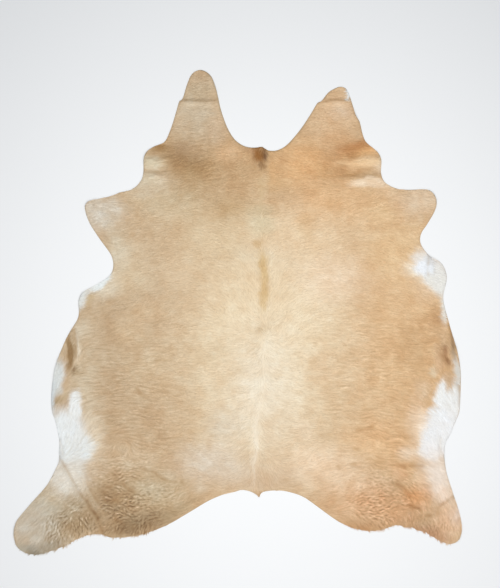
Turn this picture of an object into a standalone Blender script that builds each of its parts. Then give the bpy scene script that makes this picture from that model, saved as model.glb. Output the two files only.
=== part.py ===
"""A hair-on cattle hide laid flat, coat side up.

Blender units are metres, +Z is up and +Y points to the neck.  The tables below are in
millimetres, measured from the middle of the hide.  The hide is one solid: a skin whose
underside rests on z = 0 and whose upper face is the top of the lying coat.
"""

from collections import namedtuple
import math

import bmesh
import bpy
from mathutils import Vector
from mathutils.geometry import delaunay_2d_cdt

MM = 0.001

# Driving dimensions, in millimetres.
SKIN_AND_COAT = 5.5      # floor to the top of the lying hair, over the body
RIM_THICKNESS = 3.2      # cut edge of the skin with its short hair
RIM_SLOPE = 26.0         # width over which the rim rises to the full thickness
EDGE_STEP = 30.0         # longest step along the cut edge
FIELD_STEP = 58.0        # spacing of the points over the body
FOLD_STEP = 32.0         # spacing of the points along a fold
FLAT_BELOW = 0.15        # lift that still counts as lying on the floor
COAT_COLOUR = (0.62, 0.44, 0.27, 1.0)
COAT_ROUGHNESS = 0.75

Station = namedtuple("Station", "x y")
Fold = namedtuple("Fold", "name half_width height path")
Lift = namedtuple("Lift", "name x y reach height")
Coat = namedtuple("Coat", "name x y reach_x reach_y extra")

# The cut edge, clockwise seen from above: one table for each part of the animal, and a row
# (x, y) for each place where the edge changes its bend.  A smooth curve joins the rows.
OUTLINE = {
    "left neck flap": [
        (-374, 846), (-361, 858), (-331, 928), (-304, 1016), (-291, 1056), (-279, 1063),
        (-254, 1138), (-226, 1194), (-184, 1211), (-139, 1186), (-112, 1126), (-81, 1001),
        (-44, 906), (-9, 857), (31, 831),
    ],
    "nape": [
        (66, 823), (101, 824), (121, 827), (134, 819), (151, 809), (186, 807), (216, 817),
    ],
    "right neck flap": [
        (246, 837), (311, 911), (366, 993), (401, 1048), (416, 1054), (456, 1101),
        (511, 1127), (536, 1121), (551, 1101), (567, 1056), (591, 981), (608, 952),
        (626, 883), (641, 851),
    ],
    "right cheek": [
        (693, 806), (711, 781), (718, 751), (715, 706), (720, 676),
    ],
    "right foreleg": [
        (736, 649), (796, 617), (861, 612), (931, 614), (963, 606), (985, 581), (993, 551),
        (986, 511), (941, 431), (920, 401), (911, 368), (916, 338),
    ],
    "right armpit": [
        (963, 277), (996, 261), (1023, 238), (1045, 176), (1027, 81), (1032, 36),
    ],
    "right flank": [
        (1063, -79), (1098, -204), (1114, -304), (1114, -379), (1106, -504), (1093, -537),
        (1058, -619),
    ],
    "right hind leg": [
        (1040, -649), (1031, -694), (1041, -789), (1072, -894), (1108, -1004), (1118, -1054),
        (1117, -1099), (1106, -1134), (1083, -1153), (1056, -1158), (1028, -1150),
        (961, -1114), (933, -1096), (893, -1089), (878, -1077), (841, -1073), (806, -1065),
        (776, -1066), (751, -1077), (711, -1088), (666, -1093), (621, -1088), (526, -1058),
    ],
    "rump": [
        (481, -1032), (386, -963), (336, -928), (296, -910), (211, -891), (124, -899),
        (113, -909), (106, -926), (96, -914), (76, -902), (41, -890), (11, -889),
        (-19, -899), (-59, -907), (-139, -939),
    ],
    "left hind leg": [
        (-244, -1001), (-354, -1064), (-464, -1106), (-519, -1119), (-579, -1125),
        (-644, -1124), (-671, -1113), (-709, -1108), (-744, -1113), (-784, -1124),
        (-859, -1165), (-944, -1197), (-989, -1209), (-1039, -1209), (-1079, -1194),
        (-1106, -1166), (-1119, -1109), (-1109, -1052), (-1044, -967), (-954, -864),
        (-911, -784), (-894, -742),
    ],
    "left flank": [
        (-894, -699), (-892, -649), (-914, -539), (-927, -504), (-933, -429), (-911, -274),
        (-897, -227), (-859, -134), (-834, -89), (-799, -29), (-794, 6),
    ],
    "left armpit": [
        (-796, 43), (-789, 76), (-772, 101), (-704, 139), (-642, 182), (-624, 218),
        (-624, 256), (-635, 288),
    ],
    "left foreleg": [
        (-697, 376), (-748, 461), (-763, 533), (-749, 553), (-724, 561), (-629, 582),
        (-589, 599), (-544, 608),
    ],
    "left cheek": [
        (-514, 624), (-489, 651), (-474, 683), (-468, 776), (-454, 803), (-429, 823),
        (-399, 836),
    ],
}

# Creases and wrinkles: the skin rises by `height` over its path and runs out at its ends.
# A negative height is a trough, pressed into the coat only.
FOLDS = [
    Fold("left flap packing crease", 20, 8, [(-276, 1049), (-189, 1048), (-102, 1045)]),
    Fold("right flap packing crease", 20, 8, [(414, 1041), (486, 1050), (560, 1053)]),
    Fold("left cheek upper wrinkle", 34, 11, [(-466, 756), (-400, 752), (-325, 764)]),
    Fold("left cheek lower wrinkle", 24, 7, [(-478, 686), (-420, 682), (-340, 676)]),
    Fold("right cheek upper wrinkle", 38, 11, [(520, 748), (610, 762), (708, 764)]),
    Fold("right cheek lower wrinkle", 28, 9, [(500, 660), (620, 667), (722, 674)]),
    Fold("right throat trough", 14, -1.6, [(410, 668), (540, 690), (712, 704)]),
    Fold("left foreleg wrinkle", 20, 4, [(-722, 536), (-690, 492), (-668, 452)]),
    Fold("left belly fold", 18, 7, [(-826, -92), (-806, -150), (-808, -215), (-820, -270)]),
    Fold("left belly trough", 13, -1.4, [(-846, -130), (-834, -190), (-838, -262)]),
    Fold("right elbow fold", 22, 7, [(950, 286), (961, 225), (962, 150)]),
    Fold("left hock crease", 24, 9,
         [(-890, -738), (-838, -812), (-788, -892), (-742, -958), (-700, -1018), (-668, -1100)]),
    Fold("left thigh crease", 22, 6,
         [(-884, -690), (-854, -756), (-800, -822), (-748, -886), (-706, -946)]),
    Fold("left haunch crease", 26, 4, [(-600, -748), (-524, -780), (-439, -801), (-330, -846)]),
    Fold("right hock crease", 20, 7,
         [(1082, -926), (1054, -948), (1014, -970), (984, -1010), (962, -1052)]),
]

# Places where the rim stands a little off the floor.
LIFTS = [
    Lift("left flap edge", -120, 1120, 85, 6),
    Lift("right flap edge", 590, 985, 80, 5),
    Lift("left cheek edge", -470, 775, 70, 5),
    Lift("right foreleg tip", 985, 560, 80, 6),
    Lift("right belly edge", 1100, -210, 130, 6),
    Lift("right groin edge", 1030, -705, 90, 5),
    Lift("right hoof tip", 1105, -1105, 90, 5),
    Lift("left hoof tip", -1105, -1110, 95, 6),
    Lift("left belly edge", -925, -300, 130, 7),
    Lift("left elbow edge", -790, 60, 75, 5),
    Lift("left foreleg tip", -755, 525, 75, 5),
    Lift("tail root", 106, -915, 60, 3),
]

# Where the coat stands deeper than over the body.
COATS = [
    Coat("crest tuft", 120, 770, 60, 90, 3.5),
    Coat("backbone", 120, -50, 90, 950, 1.2),
    Coat("left thigh curls", -640, -1010, 330, 190, 3.5),
    Coat("left leg feathering", -860, -1080, 230, 110, 2.5),
    Coat("right thigh curls", 820, -980, 330, 200, 3.2),
]


def smooth_step(value):
    """Ease from 0 to 1 as value goes from 0 to 1."""
    clamped = min(max(value, 0.0), 1.0)
    return clamped * clamped * (3.0 - 2.0 * clamped)


def bump(distance, reach):
    """1 at the middle, 0 at the reach and beyond, with level ends."""
    return smooth_step(1.0 - distance / reach)


def curve_point(before, start, end, after, share):
    """A point on the centripetal Catmull-Rom curve from start to end."""
    knot_0 = 0.0
    knot_1 = knot_0 + math.sqrt((start - before).length)
    knot_2 = knot_1 + math.sqrt((end - start).length)
    knot_3 = knot_2 + math.sqrt((after - end).length)
    knot = knot_1 + (knot_2 - knot_1) * share

    def blend(point_a, point_b, knot_a, knot_b):
        return point_a.lerp(point_b, (knot - knot_a) / (knot_b - knot_a))

    left = blend(before, start, knot_0, knot_1)
    middle = blend(start, end, knot_1, knot_2)
    right = blend(end, after, knot_2, knot_3)
    lower = blend(left, middle, knot_0, knot_2)
    upper = blend(middle, right, knot_1, knot_3)
    return blend(lower, upper, knot_1, knot_2)


def cut_edge():
    """The closed outline as points no more than EDGE_STEP apart."""
    stations = [Vector(Station(*row)) for table in OUTLINE.values() for row in table]
    count = len(stations)
    edge = []
    for index, start in enumerate(stations):
        before = stations[index - 1]
        end = stations[(index + 1) % count]
        after = stations[(index + 2) % count]
        steps = max(1, math.ceil((end - start).length / EDGE_STEP))
        for step in range(steps):
            edge.append(curve_point(before, start, end, after, step / steps))
    return edge


def inside(point, edge):
    """Whether a point lies within the closed outline."""
    crossings = 0
    for index, end in enumerate(edge):
        start = edge[index - 1]
        if (start.y > point.y) == (end.y > point.y):
            continue
        crossing = start.x + (point.y - start.y) * (end.x - start.x) / (end.y - start.y)
        if crossing > point.x:
            crossings += 1
    return crossings % 2 == 1


def distance_to_path(point, path):
    """Shortest distance to an open path, and the share of the path reached there."""
    nearest = (math.inf, 0.0)
    total = sum((end - start).length for start, end in zip(path, path[1:]))
    passed = 0.0
    for start, end in zip(path, path[1:]):
        run = end - start
        share = min(max((point - start).dot(run) / run.length_squared, 0.0), 1.0)
        distance = (point - start - run * share).length
        if distance < nearest[0]:
            nearest = (distance, (passed + share * run.length) / total)
        passed += run.length
    return nearest


def distance_to_edge(point, edge):
    """Shortest distance from a point to the cut edge."""
    return distance_to_path(point, edge + edge[:1])[0]


def fold_height(fold, point):
    """How far one fold raises (or presses in) the hide at a point."""
    path = [Vector(row) for row in fold.path]
    distance, share = distance_to_path(point, path)
    if distance >= fold.half_width:
        return 0.0
    run_out = smooth_step(5.0 * min(share, 1.0 - share) + 0.25)
    return fold.height * bump(distance, fold.half_width) * run_out


def skin_lift(point):
    """Height of the underside above the floor, in millimetres."""
    ridges = sum(max(fold_height(fold, point), 0.0) for fold in FOLDS)
    rim = 0.0
    for lift in LIFTS:
        distance = (point - Vector((lift.x, lift.y))).length
        rim += lift.height * bump(distance, lift.reach)
    total = ridges + rim
    return total if total > FLAT_BELOW else 0.0


def coat_thickness(point, edge):
    """Skin and lying hair together at a point, in millimetres."""
    full = SKIN_AND_COAT
    for coat in COATS:
        across = (point.x - coat.x) / coat.reach_x
        along = (point.y - coat.y) / coat.reach_y
        full += coat.extra * bump(math.hypot(across, along), 1.0)
    troughs = sum(min(fold_height(fold, point), 0.0) for fold in FOLDS)
    rise = smooth_step(distance_to_edge(point, edge) / RIM_SLOPE)
    return RIM_THICKNESS + (full + troughs - RIM_THICKNESS) * rise


def rim_row(edge):
    """A row of points just inside the cut edge, where the rim slope ends."""
    row = []
    for index, point in enumerate(edge):
        tangent = edge[(index + 1) % len(edge)] - edge[index - 1]
        inward = Vector((tangent.y, -tangent.x)).normalized()
        row.append(point + inward * RIM_SLOPE)
    return row


def fold_rows(fold):
    """Rows of points along a fold: its crest, its shoulders and its feet."""
    rows = []
    path = [Vector(row) for row in fold.path]
    for start, end in zip(path, path[1:]):
        run = end - start
        across = Vector((-run.y, run.x)).normalized()
        steps = max(1, round(run.length / FOLD_STEP))
        for step in range(steps + 1):
            middle = start + run * (step / steps)
            for share in (-1.0, -0.5, 0.0, 0.5, 1.0):
                rows.append(middle + across * (share * fold.half_width))
    return rows


def field_points():
    """An even field of points in staggered rows over the whole body."""
    rise = FIELD_STEP * math.sqrt(0.75)
    columns = round(1200 / FIELD_STEP)
    rows = round(1260 / rise)
    for row in range(-rows, rows + 1):
        stagger = 0.5 * FIELD_STEP * (row % 2)
        for column in range(-columns, columns + 1):
            yield Vector((column * FIELD_STEP + stagger, row * rise))


def inner_points(edge):
    """All points inside the edge: rim row, folds, then the field where there is room."""
    kept = []

    def add(candidates, edge_room, point_room):
        for point in candidates:
            if not inside(point, edge):
                continue
            if distance_to_edge(point, edge) < edge_room:
                continue
            if any((point - other).length < point_room for other in kept):
                continue
            kept.append(point)

    for fold in FOLDS:
        add(fold_rows(fold), 0.35 * RIM_SLOPE, 6.5)
    add(rim_row(edge), 0.9 * RIM_SLOPE, 11.0)
    add(field_points(), 1.6 * RIM_SLOPE, 0.62 * FIELD_STEP)
    return kept


def hide_mesh():
    """The closed mesh of the hide: underside, upper face and the wall between them."""
    edge = cut_edge()
    count = len(edge)
    loop = [(index, (index + 1) % count) for index in range(count)]
    flat, _, faces, _, _, _ = delaunay_2d_cdt(edge + inner_points(edge), loop, [], 1, 0.01)
    middle_x = 0.5 * (min(p.x for p in edge) + max(p.x for p in edge))
    middle_y = 0.5 * (min(p.y for p in edge) + max(p.y for p in edge))

    mesh = bmesh.new()
    lower = []
    upper = []
    for point in flat:
        x = (point.x - middle_x) * MM
        y = (point.y - middle_y) * MM
        lift = skin_lift(point)
        thickness = coat_thickness(point, edge)
        lower.append(mesh.verts.new((x, y, lift * MM)))
        upper.append(mesh.verts.new((x, y, (lift + thickness) * MM)))
    for face in faces:
        mesh.faces.new([upper[index] for index in face])
        mesh.faces.new([lower[index] for index in reversed(face)])
    for start, end in loop:
        mesh.faces.new((lower[end], lower[start], upper[start], upper[end]))
    bmesh.ops.triangulate(mesh, faces=mesh.faces)
    bmesh.ops.recalc_face_normals(mesh, faces=mesh.faces)
    return mesh


def coat_material():
    """Plain short hair for the solid."""
    material = bpy.data.materials.new("hair_on_hide")
    material.use_nodes = True
    shader = material.node_tree.nodes["Principled BSDF"]
    shader.inputs["Base Color"].default_value = COAT_COLOUR
    shader.inputs["Roughness"].default_value = COAT_ROUGHNESS
    shader.inputs["Metallic"].default_value = 0.0
    return material


def make_hide():
    """Add the hide to the scene as one object."""
    mesh = hide_mesh()
    data = bpy.data.meshes.new("hide")
    mesh.to_mesh(data)
    mesh.free()
    data.materials.append(coat_material())
    hide = bpy.data.objects.new("hide", data)
    bpy.context.scene.collection.objects.link(hide)


def main():
    for item in list(bpy.data.objects):
        bpy.data.objects.remove(item, do_unlink=True)
    make_hide()


main()
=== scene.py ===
"""Looks of a hair-on cattle hide that lies flat on a floor, coat side up.

The hide is a tanned skin with its hair.  The skin is one thin closed sheet on the folds of the
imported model, and the hair lies on it in locks that follow the comb of the coat.  Tables are in
millimetres from the middle of the hide, with headings in degrees, anticlockwise from +X.
"""

from collections import namedtuple
import math

import bmesh
import bpy
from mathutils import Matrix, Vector
from mathutils.bvhtree import BVHTree
from mathutils.geometry import delaunay_2d_cdt
import numpy as np


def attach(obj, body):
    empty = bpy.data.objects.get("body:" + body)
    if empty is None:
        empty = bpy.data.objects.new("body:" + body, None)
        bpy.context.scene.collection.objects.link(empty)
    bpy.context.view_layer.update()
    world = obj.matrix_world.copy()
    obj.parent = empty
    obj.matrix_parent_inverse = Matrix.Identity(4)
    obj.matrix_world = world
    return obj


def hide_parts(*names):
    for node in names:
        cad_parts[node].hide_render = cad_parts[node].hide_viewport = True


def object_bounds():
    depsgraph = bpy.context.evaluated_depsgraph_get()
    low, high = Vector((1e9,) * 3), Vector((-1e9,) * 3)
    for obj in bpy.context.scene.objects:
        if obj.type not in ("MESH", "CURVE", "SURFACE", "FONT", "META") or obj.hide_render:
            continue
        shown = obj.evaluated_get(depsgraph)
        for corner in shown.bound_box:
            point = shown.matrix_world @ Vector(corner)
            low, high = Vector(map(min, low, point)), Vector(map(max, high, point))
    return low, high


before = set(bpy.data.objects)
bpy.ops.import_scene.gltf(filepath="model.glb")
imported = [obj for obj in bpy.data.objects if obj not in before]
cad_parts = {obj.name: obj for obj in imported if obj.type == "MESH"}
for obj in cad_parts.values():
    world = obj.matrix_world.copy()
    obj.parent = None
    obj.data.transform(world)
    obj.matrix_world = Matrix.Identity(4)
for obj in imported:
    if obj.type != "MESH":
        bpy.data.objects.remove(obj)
CAD_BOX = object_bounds()

MM = 0.001
NODE = "hide"
BODY = "root"

# Maps over the floor.
MAP_STEP = 10 * MM          # between the points of the height and comb maps
STREAK_STEP = 3 * MM        # between the points of the streak maps
MAP_MARGIN = 60 * MM        # how far the maps run past the hide
RAY_ABOVE = 0.5             # where the rays that read the folds start
SLOPE_REACH = 8 * MM        # the slope of a fold is read from this far to each side
FAR = 9.0                   # metres, more than any distance on the hide
TINY = 1e-9                 # keeps a division from meeting zero
SWIRL_EYE = 0.001 * MM      # and so does this, in the middle of a swirl
MERGE_GAP = 0.02 * MM       # corners of the solid that are nearer than this are one
STREAK_LIMIT = 2.6          # the strongest streak, where the spread of streaks is 1
CURLED_FROM = 0.2           # where there is more curl than this, the streaks get shorter
CURLED_RUN = 0.5            # over this much more curl

# The skin.
SKIN_SHARE = 0.42           # how much of the solid's thickness is skin, and the rest hair
SKIN_LEAST = 1.3 * MM
SKIN_STEP = 15 * MM         # between the points of the skin's mesh
EDGE_STEP = 9 * MM          # along the cut edge
EDGE_KEEP = 0.55            # no point of the field is nearer to the edge than this many steps
TOP_NORMAL = 0.4            # a face that points up more than this is on the hair side
WALL_NORMAL = 0.3           # one that points up or down less than this is on the cut
SPAN_POINTS = 8             # points in each smoothed span between two corners of the cut

# The locks of hair.
COAT_SEED = 7
LOCK_STEP = 4.0 * MM        # between roots
LOCK_LENGTH = 27 * MM
LOCK_WIDTH = 3.3 * MM
LENGTH_RANGE = (0.75, 1.25)
WIDTH_RANGE = (0.7, 1.25)
WIDTH_LEAST = 0.45          # a lock that is cut short gets no narrower than this share
ROOT_INSET = 0.8 * MM       # no root is nearer to the cut edge than this
CURL_SHORTENS = 0.45        # a curled lock reaches this share less far
CURL_NARROWS = 0.3          # and is this share narrower
CURL_EVERYWHERE = 0.10      # how curly the smooth coat is
CURL_SHARE = 0.35           # a lock with more curl than this gets the finer strip
LOCK_ROLL = math.radians(8)
LOCK_STRAY = 0.13           # how far a lock's heading strays from the comb, in radians
LOCK_BEND = 0.15            # how far a lock bends on its way, in radians
CURL_BEND = 0.55            # how much more a curled one bends
BEND_PIVOT = 0.3            # the share of its length at which it lies along the comb
LOCK_OVERHANG = 1.5 * MM    # how far a tip may run past the cut edge
OVERHANG_RANGE = (0.1, 1.0)  # the share of that which a lock makes use of
TUFT_MIDDLE = 0.45          # how full a fringe is on average, between its tufts and its gaps
TRIM_ROUNDS = 6             # how often a lock that lies too far out may be cut shorter
TRIM_TO = 0.66              # the share of its length that each cut leaves
TRIM_LEAST = 7 * MM         # a lock shorter than this isn't cut for a crease
CREASE_STEP = 0.07          # a lock ends where the shade of the creases changes by this much
PLAIN_WIDTHS = (0.75, 1.0)                   # across the strip at each station before the tip
CURLED_WIDTHS = (0.65, 1.0, 0.95, 0.70)
ROOT_SINK = 0.6 * MM
LEAST_LOFT = 0.5 * MM       # above the skin, even in a crease
LEAST_HEIGHT = 0.3 * MM     # above the floor
LAYERS = (0.15, 1.0)        # between which shares of the coat's depth a lock finds its layer
RISE_SHARE = 0.45           # the share of its length in which a lock rises to its layer
TIP_DROP = 0.22             # how much of that height the tip loses again
CLUMP_SWELL = 0.10          # how far clumps lift the hair, as a share of its height
CURL_SWELL = 0.25           # how much further in full curl, and how far waves lift it
SWELL_MOST = 0.9
CRINKLE_PEAK = 2.0          # where the ridge map is this strong, a crinkle is at its full height
VALLEY_DEPTH = 2.9          # the valleys between crinkles are narrow and deep
RIDGE_HEIGHT = 1.1          # and the ridges broad and low
BUNCH_MIDDLE = 0.9          # crinkles come in bunches: how strong they are on average
BUNCH_MOST = 1.5            # and at most

# The locks' places on their maps.
LOCK_MAP_SIZE = 5           # metres, over which the locks are strewn
BAKE_MARGIN = 0.01

# The coat's parts, each a piece of its own.
NECK_FROM = 330 * MM        # the neck lies above this
HAUNCH_FROM = -520 * MM     # the haunches lie below this

# How the coat's colour goes from light to dark: most in blue and least in red, so that what is
# darker is also warmer.  Fine tones are from lock to lock, broad ones from patch to patch, and
# the painted shade of the creases lies between the two.
FINE_SHADE = np.array((0.78, 0.96, 1.26))
BROAD_SHADE = np.array((0.50, 0.95, 1.50))
CREASE_SHADE = np.array((0.68, 0.97, 1.33))
# Crinkle and wave valleys get painted shade, and their ridges painted light, scaled by this.
CRINKLE_PAINTED_LIGHT = 0.19         # how much darker the valleys between crinkles of hair are
STREAK_TONE = 0.034         # how much darker or lighter a lock is for its streak
CLUMP_TONE = 0.022          # and for its clump
LOCK_TONE = 0.020           # and by chance
# The lowest locks are painted darker by this much: painted shade from the locks above them.
LAYER_PAINTED_SHADE = 0.06           # how much darker the lowest locks are
ROOT_TONE = -0.04           # from root to tip a lock goes from darker to lighter
TIP_TONE = 0.02
STRAIGHT_TONES = 0.50       # the share of the tones of streaks and clumps that straight hair shows
CURL_TONES = 2.1            # how much more of them shows in full curl
STRAIGHT_MOTTLE = 0.62      # the same for the coat's mottle
CURL_MOTTLE = 1.3
MOTTLE_MOST = 1.1
WHITE_FROM = 0.5            # hair whose blue, as a linear number, is below this is tan
WHITE_RUN = 0.25            # and with this much more it is white
WHITE_CALMS_MOTTLE = 0.8    # how much less mottled white hair is
WHITE_CALMS_TONES = 0.4     # and how much less streaked
COLOUR_REACH = 0.35         # how far up and down the hair a lock's colours are read, as a share of it
COLOUR_STRAY = 3 * MM       # and how much further by chance
FRAY = 1.5 * MM             # how far the hair carries the edges of patches along

# The backbone and the hair beside it.
SPINE_X = 121 * MM
RUMP_SHIFT = 45 * MM        # how far to the left the backbone ends
RUMP_FROM = -250 * MM       # where it starts to lean to the left
RUMP_RUN = 600 * MM         # over what length it does so
PARTING = 16 * MM           # the hair of one side turns into that of the other over this width
PARTING_WANDER = 6 * MM
STRIPE_WIDTH = 20 * MM      # the hair right on the backbone lies along it, away from the whorl
STRIPE_SIDE = 8 * MM        # the stripe's middle is this far to the right of the parting
STRIPE_ABOVE = 0.92         # how far that hair turns, above the whorl and below it
STRIPE_BELOW = 0.75
STRIPE_END = 420 * MM       # the stripe ends here
STRIPE_FADE = 80 * MM       # and fades out over this length before it
WHORL_Y = -95 * MM

Comb = namedtuple("Comb", "side x y reach heading")
Curl = namedtuple("Curl", "name x y reach_x reach_y amount")
Swirl = namedtuple("Swirl", "name x y reach strength")
Patch = namedtuple("Patch", "name x y reach_x reach_y colour amount turn edge", defaults=(0, 1.0))
Feather = namedtuple("Feather", "name x y reach overhang")
Crease = namedtuple("Crease", "name x0 y0 x1 y1 width depth shade")
Noise = namedtuple("Noise", "strength grain seed")
Softbox = namedtuple("Softbox", "name place aim size power colour")

# What the skin and the locks read over the floor, and what is known of a set of locks: where each
# is rooted, its curl and length, and its places and headings from root to tip.
Maps = namedtuple("Maps", "comb inset top under streaks clumps waves ridges dents shades")
Locks = namedtuple("Locks", "x y curl length xs ys dxs dys")

# Irregular changes: how strong they are, over what distance and from which seed.
PARTING_NOISE = Noise(1.0, 90 * MM, 11)
CURL_TURNS = [Noise(0.6, 50 * MM, 21), Noise(0.6, 26 * MM, 22)]             # radians, in full curl
STRAY_TURNS = [Noise(0.10, 130 * MM, 23), Noise(0.10, 22 * MM, 24)]         # radians, everywhere
PATCH_WANDER_X = [Noise(10 * MM, 75 * MM, 31), Noise(6 * MM, 24 * MM, 32)]
PATCH_WANDER_Y = [Noise(10 * MM, 75 * MM, 33), Noise(6 * MM, 24 * MM, 34)]
MOTTLE = [Noise(0.05, 120 * MM, 41), Noise(0.08, 52 * MM, 42), Noise(0.07, 24 * MM, 43)]
CREASE_WANDER_X = [Noise(5 * MM, 30 * MM, 61)]
CREASE_WANDER_Y = [Noise(5 * MM, 30 * MM, 62)]
CREASE_FADING = [Noise(0.3, 18 * MM, 63)]
TUFTS = [Noise(1.2, 11 * MM, 71)]
BUNCHES = [Noise(0.9, 64 * MM, 72)]

# Which way the hair lies.  A row counts only on its own side of the backbone: -1 is left, 1 right.
COMB = [
    # left neck and shoulder
    Comb(-1, -205, 1130, 130, 182), Comb(-1, -200, 950, 130, 180), Comb(-1, -150, 860, 110, 184),
    Comb(-1, -400, 765, 110, 186), Comb(-1, -190, 740, 120, 186), Comb(-1, 20, 760, 80, 196),
    Comb(-1, -30, 600, 120, 190), Comb(-1, -340, 580, 120, 190), Comb(-1, -600, 540, 110, 182),
    Comb(-1, -700, 500, 90, 176), Comb(-1, -560, 380, 120, 186), Comb(-1, -200, 440, 120, 176),
    Comb(-1, 20, 420, 90, 168), Comb(-1, 100, 780, 36, 262),
    # left side: the hair rises from the whorl, arches over and runs down to the belly
    Comb(-1, -440, 300, 120, 192), Comb(-1, -265, 190, 100, 184), Comb(-1, -115, 130, 90, 154),
    Comb(-1, -20, 30, 80, 138), Comb(-1, 55, -50, 60, 142), Comb(-1, 85, 60, 60, 112),
    Comb(-1, 95, 200, 70, 118), Comb(-1, 100, 330, 60, 140), Comb(-1, -440, 110, 120, 206),
    Comb(-1, -350, 60, 100, 204), Comb(-1, -640, -90, 120, 188), Comb(-1, -740, 100, 100, 200),
    Comb(-1, 70, -110, 60, 186), Comb(-1, -65, -190, 100, 184), Comb(-1, -390, -165, 120, 184),
    Comb(-1, -690, -340, 120, 182), Comb(-1, -390, -440, 120, 181), Comb(-1, -65, -440, 100, 186),
    Comb(-1, 85, -190, 60, 214), Comb(-1, 80, -380, 70, 204), Comb(-1, 75, -600, 70, 216),
    Comb(-1, 80, -780, 60, 240), Comb(-1, -890, -300, 70, 240), Comb(-1, -835, -200, 60, 262),
    Comb(-1, -840, -560, 90, 250),
    # left haunch and hind leg
    Comb(-1, 30, -700, 70, 216), Comb(-1, -110, -740, 90, 166), Comb(-1, -240, -720, 90, 172),
    Comb(-1, 0, -840, 60, 206), Comb(-1, -160, -850, 70, 168), Comb(-1, -240, -890, 70, 212),
    Comb(-1, -440, -760, 110, 178), Comb(-1, -620, -760, 110, 182), Comb(-1, -620, -915, 110, 186),
    Comb(-1, -440, -900, 100, 182), Comb(-1, -570, -1000, 80, 178), Comb(-1, -480, -1080, 50, 256),
    Comb(-1, -620, -1100, 50, 262), Comb(-1, -760, -1090, 60, 262), Comb(-1, -850, -1120, 70, 256),
    Comb(-1, -720, -980, 80, 226),
    Comb(-1, -990, -1100, 90, 232), Comb(-1, -900, -900, 90, 208), Comb(-1, -1060, -1080, 80, 214),
    # right neck and shoulder
    Comb(1, 486, 1080, 130, -2), Comb(1, 461, 950, 130, 0), Comb(1, 400, 850, 110, -4),
    Comb(1, 636, 765, 110, -3), Comb(1, 430, 735, 120, -5), Comb(1, 225, 750, 80, -16),
    Comb(1, 280, 600, 120, -2), Comb(1, 461, 440, 120, 16), Comb(1, 711, 560, 120, 8),
    Comb(1, 930, 545, 90, -4), Comb(1, 800, 400, 110, -8), Comb(1, 311, 320, 110, 14),
    Comb(1, 225, 430, 90, 12), Comb(1, 140, 780, 36, -82),
    # right side
    Comb(1, 411, 60, 100, 16), Comb(1, 300, 10, 80, 40), Comb(1, 236, -80, 70, 42),
    Comb(1, 160, 60, 60, 66), Comb(1, 150, 200, 70, 62), Comb(1, 145, 330, 60, 40),
    Comb(1, 520, 110, 110, 0), Comb(1, 640, 110, 120, -12), Comb(1, 811, 250, 110, -20),
    Comb(1, 811, -30, 120, -9), Comb(1, 961, 100, 100, -24), Comb(1, 461, -190, 120, 1),
    Comb(1, 711, -340, 120, -3), Comb(1, 900, -190, 90, -8), Comb(1, 1035, -210, 55, -68),
    Comb(1, 1010, -440, 60, -56), Comb(1, 1000, -640, 70, -66), Comb(1, 311, -440, 110, -4),
    Comb(1, 561, -590, 120, -4), Comb(1, 811, -590, 110, -10), Comb(1, 880, -520, 60, -14),
    Comb(1, 165, -190, 60, -36), Comb(1, 160, -380, 70, -26), Comb(1, 165, -600, 70, -34),
    Comb(1, 160, -780, 60, -62),
    # right haunch and hind leg
    Comb(1, 250, -690, 80, 24), Comb(1, 340, -700, 80, 28), Comb(1, 330, -830, 70, 8),
    Comb(1, 470, -660, 90, 0), Comb(1, 560, -840, 100, 22), Comb(1, 640, -930, 90, 14),
    Comb(1, 780, -950, 90, -2), Comb(1, 886, -880, 80, -34), Comb(1, 600, -1030, 50, -62),
    Comb(1, 720, -1060, 45, -70), Comb(1, 820, -1062, 45, -74),
    Comb(1, 700, -760, 110, -2), Comb(1, 950, -740, 100, -26), Comb(1, 1011, -980, 80, -58),
    Comb(1, 900, -1040, 80, -66), Comb(1, 1061, -1070, 80, -80),
]

# Where the hair stands in waves and curls.
CURLS = [
    Curl("left side waves", -480, -380, 430, 420, 0.22),
    Curl("right side waves", 700, -330, 400, 420, 0.26),
    Curl("left haunch curls", -640, -960, 230, 210, 0.85),
    Curl("left leg curls", -840, -1070, 150, 110, 0.70),
    Curl("left haunch waves", -360, -860, 240, 170, 0.30),
    Curl("right haunch curls", 840, -970, 180, 150, 0.75),
    Curl("right hock, smooth", 965, -850, 90, 80, -0.25),
    Curl("right haunch waves", 560, -900, 260, 150, 0.28),
    Curl("right leg tip", 1050, -1080, 90, 120, 0.30),
    Curl("left neck", -200, 700, 240, 190, 0.32),
    Curl("right neck", 420, 660, 260, 190, 0.22),
    Curl("left foreleg", -640, 480, 170, 150, 0.30),
    Curl("right foreleg", 880, 520, 170, 130, 0.30),
    Curl("right flank marks", 1000, -170, 110, 240, 0.35),
    Curl("fore back, smooth", 140, 230, 340, 280, -0.10),
    Curl("back, smooth", 120, -350, 220, 330, -0.05),
]

# Where waves lie across the hair: their valleys are painted darker, painted shade, and their crests a
# little lighter, painted light.
WAVES = [
    Curl("left leg waves", -815, -1010, 80, 60, 0.9),
]

# Where the hair lies in crinkles, ridges that run with it, with valleys between them: the valleys are
# painted darker, painted shade, and the ridges lighter, painted light.
CRINKLES = [
    Curl("left haunch", -590, -965, 160, 140, 2.5),
    Curl("left haunch, along the rim", -535, -1065, 130, 50, 1.1),
    Curl("left leg, underside", -850, -1075, 120, 75, 2.7),
    Curl("left haunch, towards the rump", -400, -900, 170, 120, 0.30),
    Curl("left flank", -560, -620, 260, 210, 0.44),
    Curl("left side", -560, -280, 260, 280, 0.38),
    Curl("left shoulder", -480, 420, 300, 240, 0.13),
    Curl("right haunch", 745, -965, 170, 125, 1.5),
    Curl("right leg end", 1010, -1065, 100, 90, 0.50),
    Curl("right groin", 810, -710, 130, 90, 0.28),
    Curl("right flank", 640, -570, 260, 210, 0.34),
    Curl("right side", 680, -230, 270, 260, 0.30),
    Curl("right shoulder", 640, 420, 300, 240, 0.10),
    Curl("left neck", -190, 740, 200, 130, 0.50),
    Curl("right neck", 480, 740, 220, 140, 0.18),
]

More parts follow.
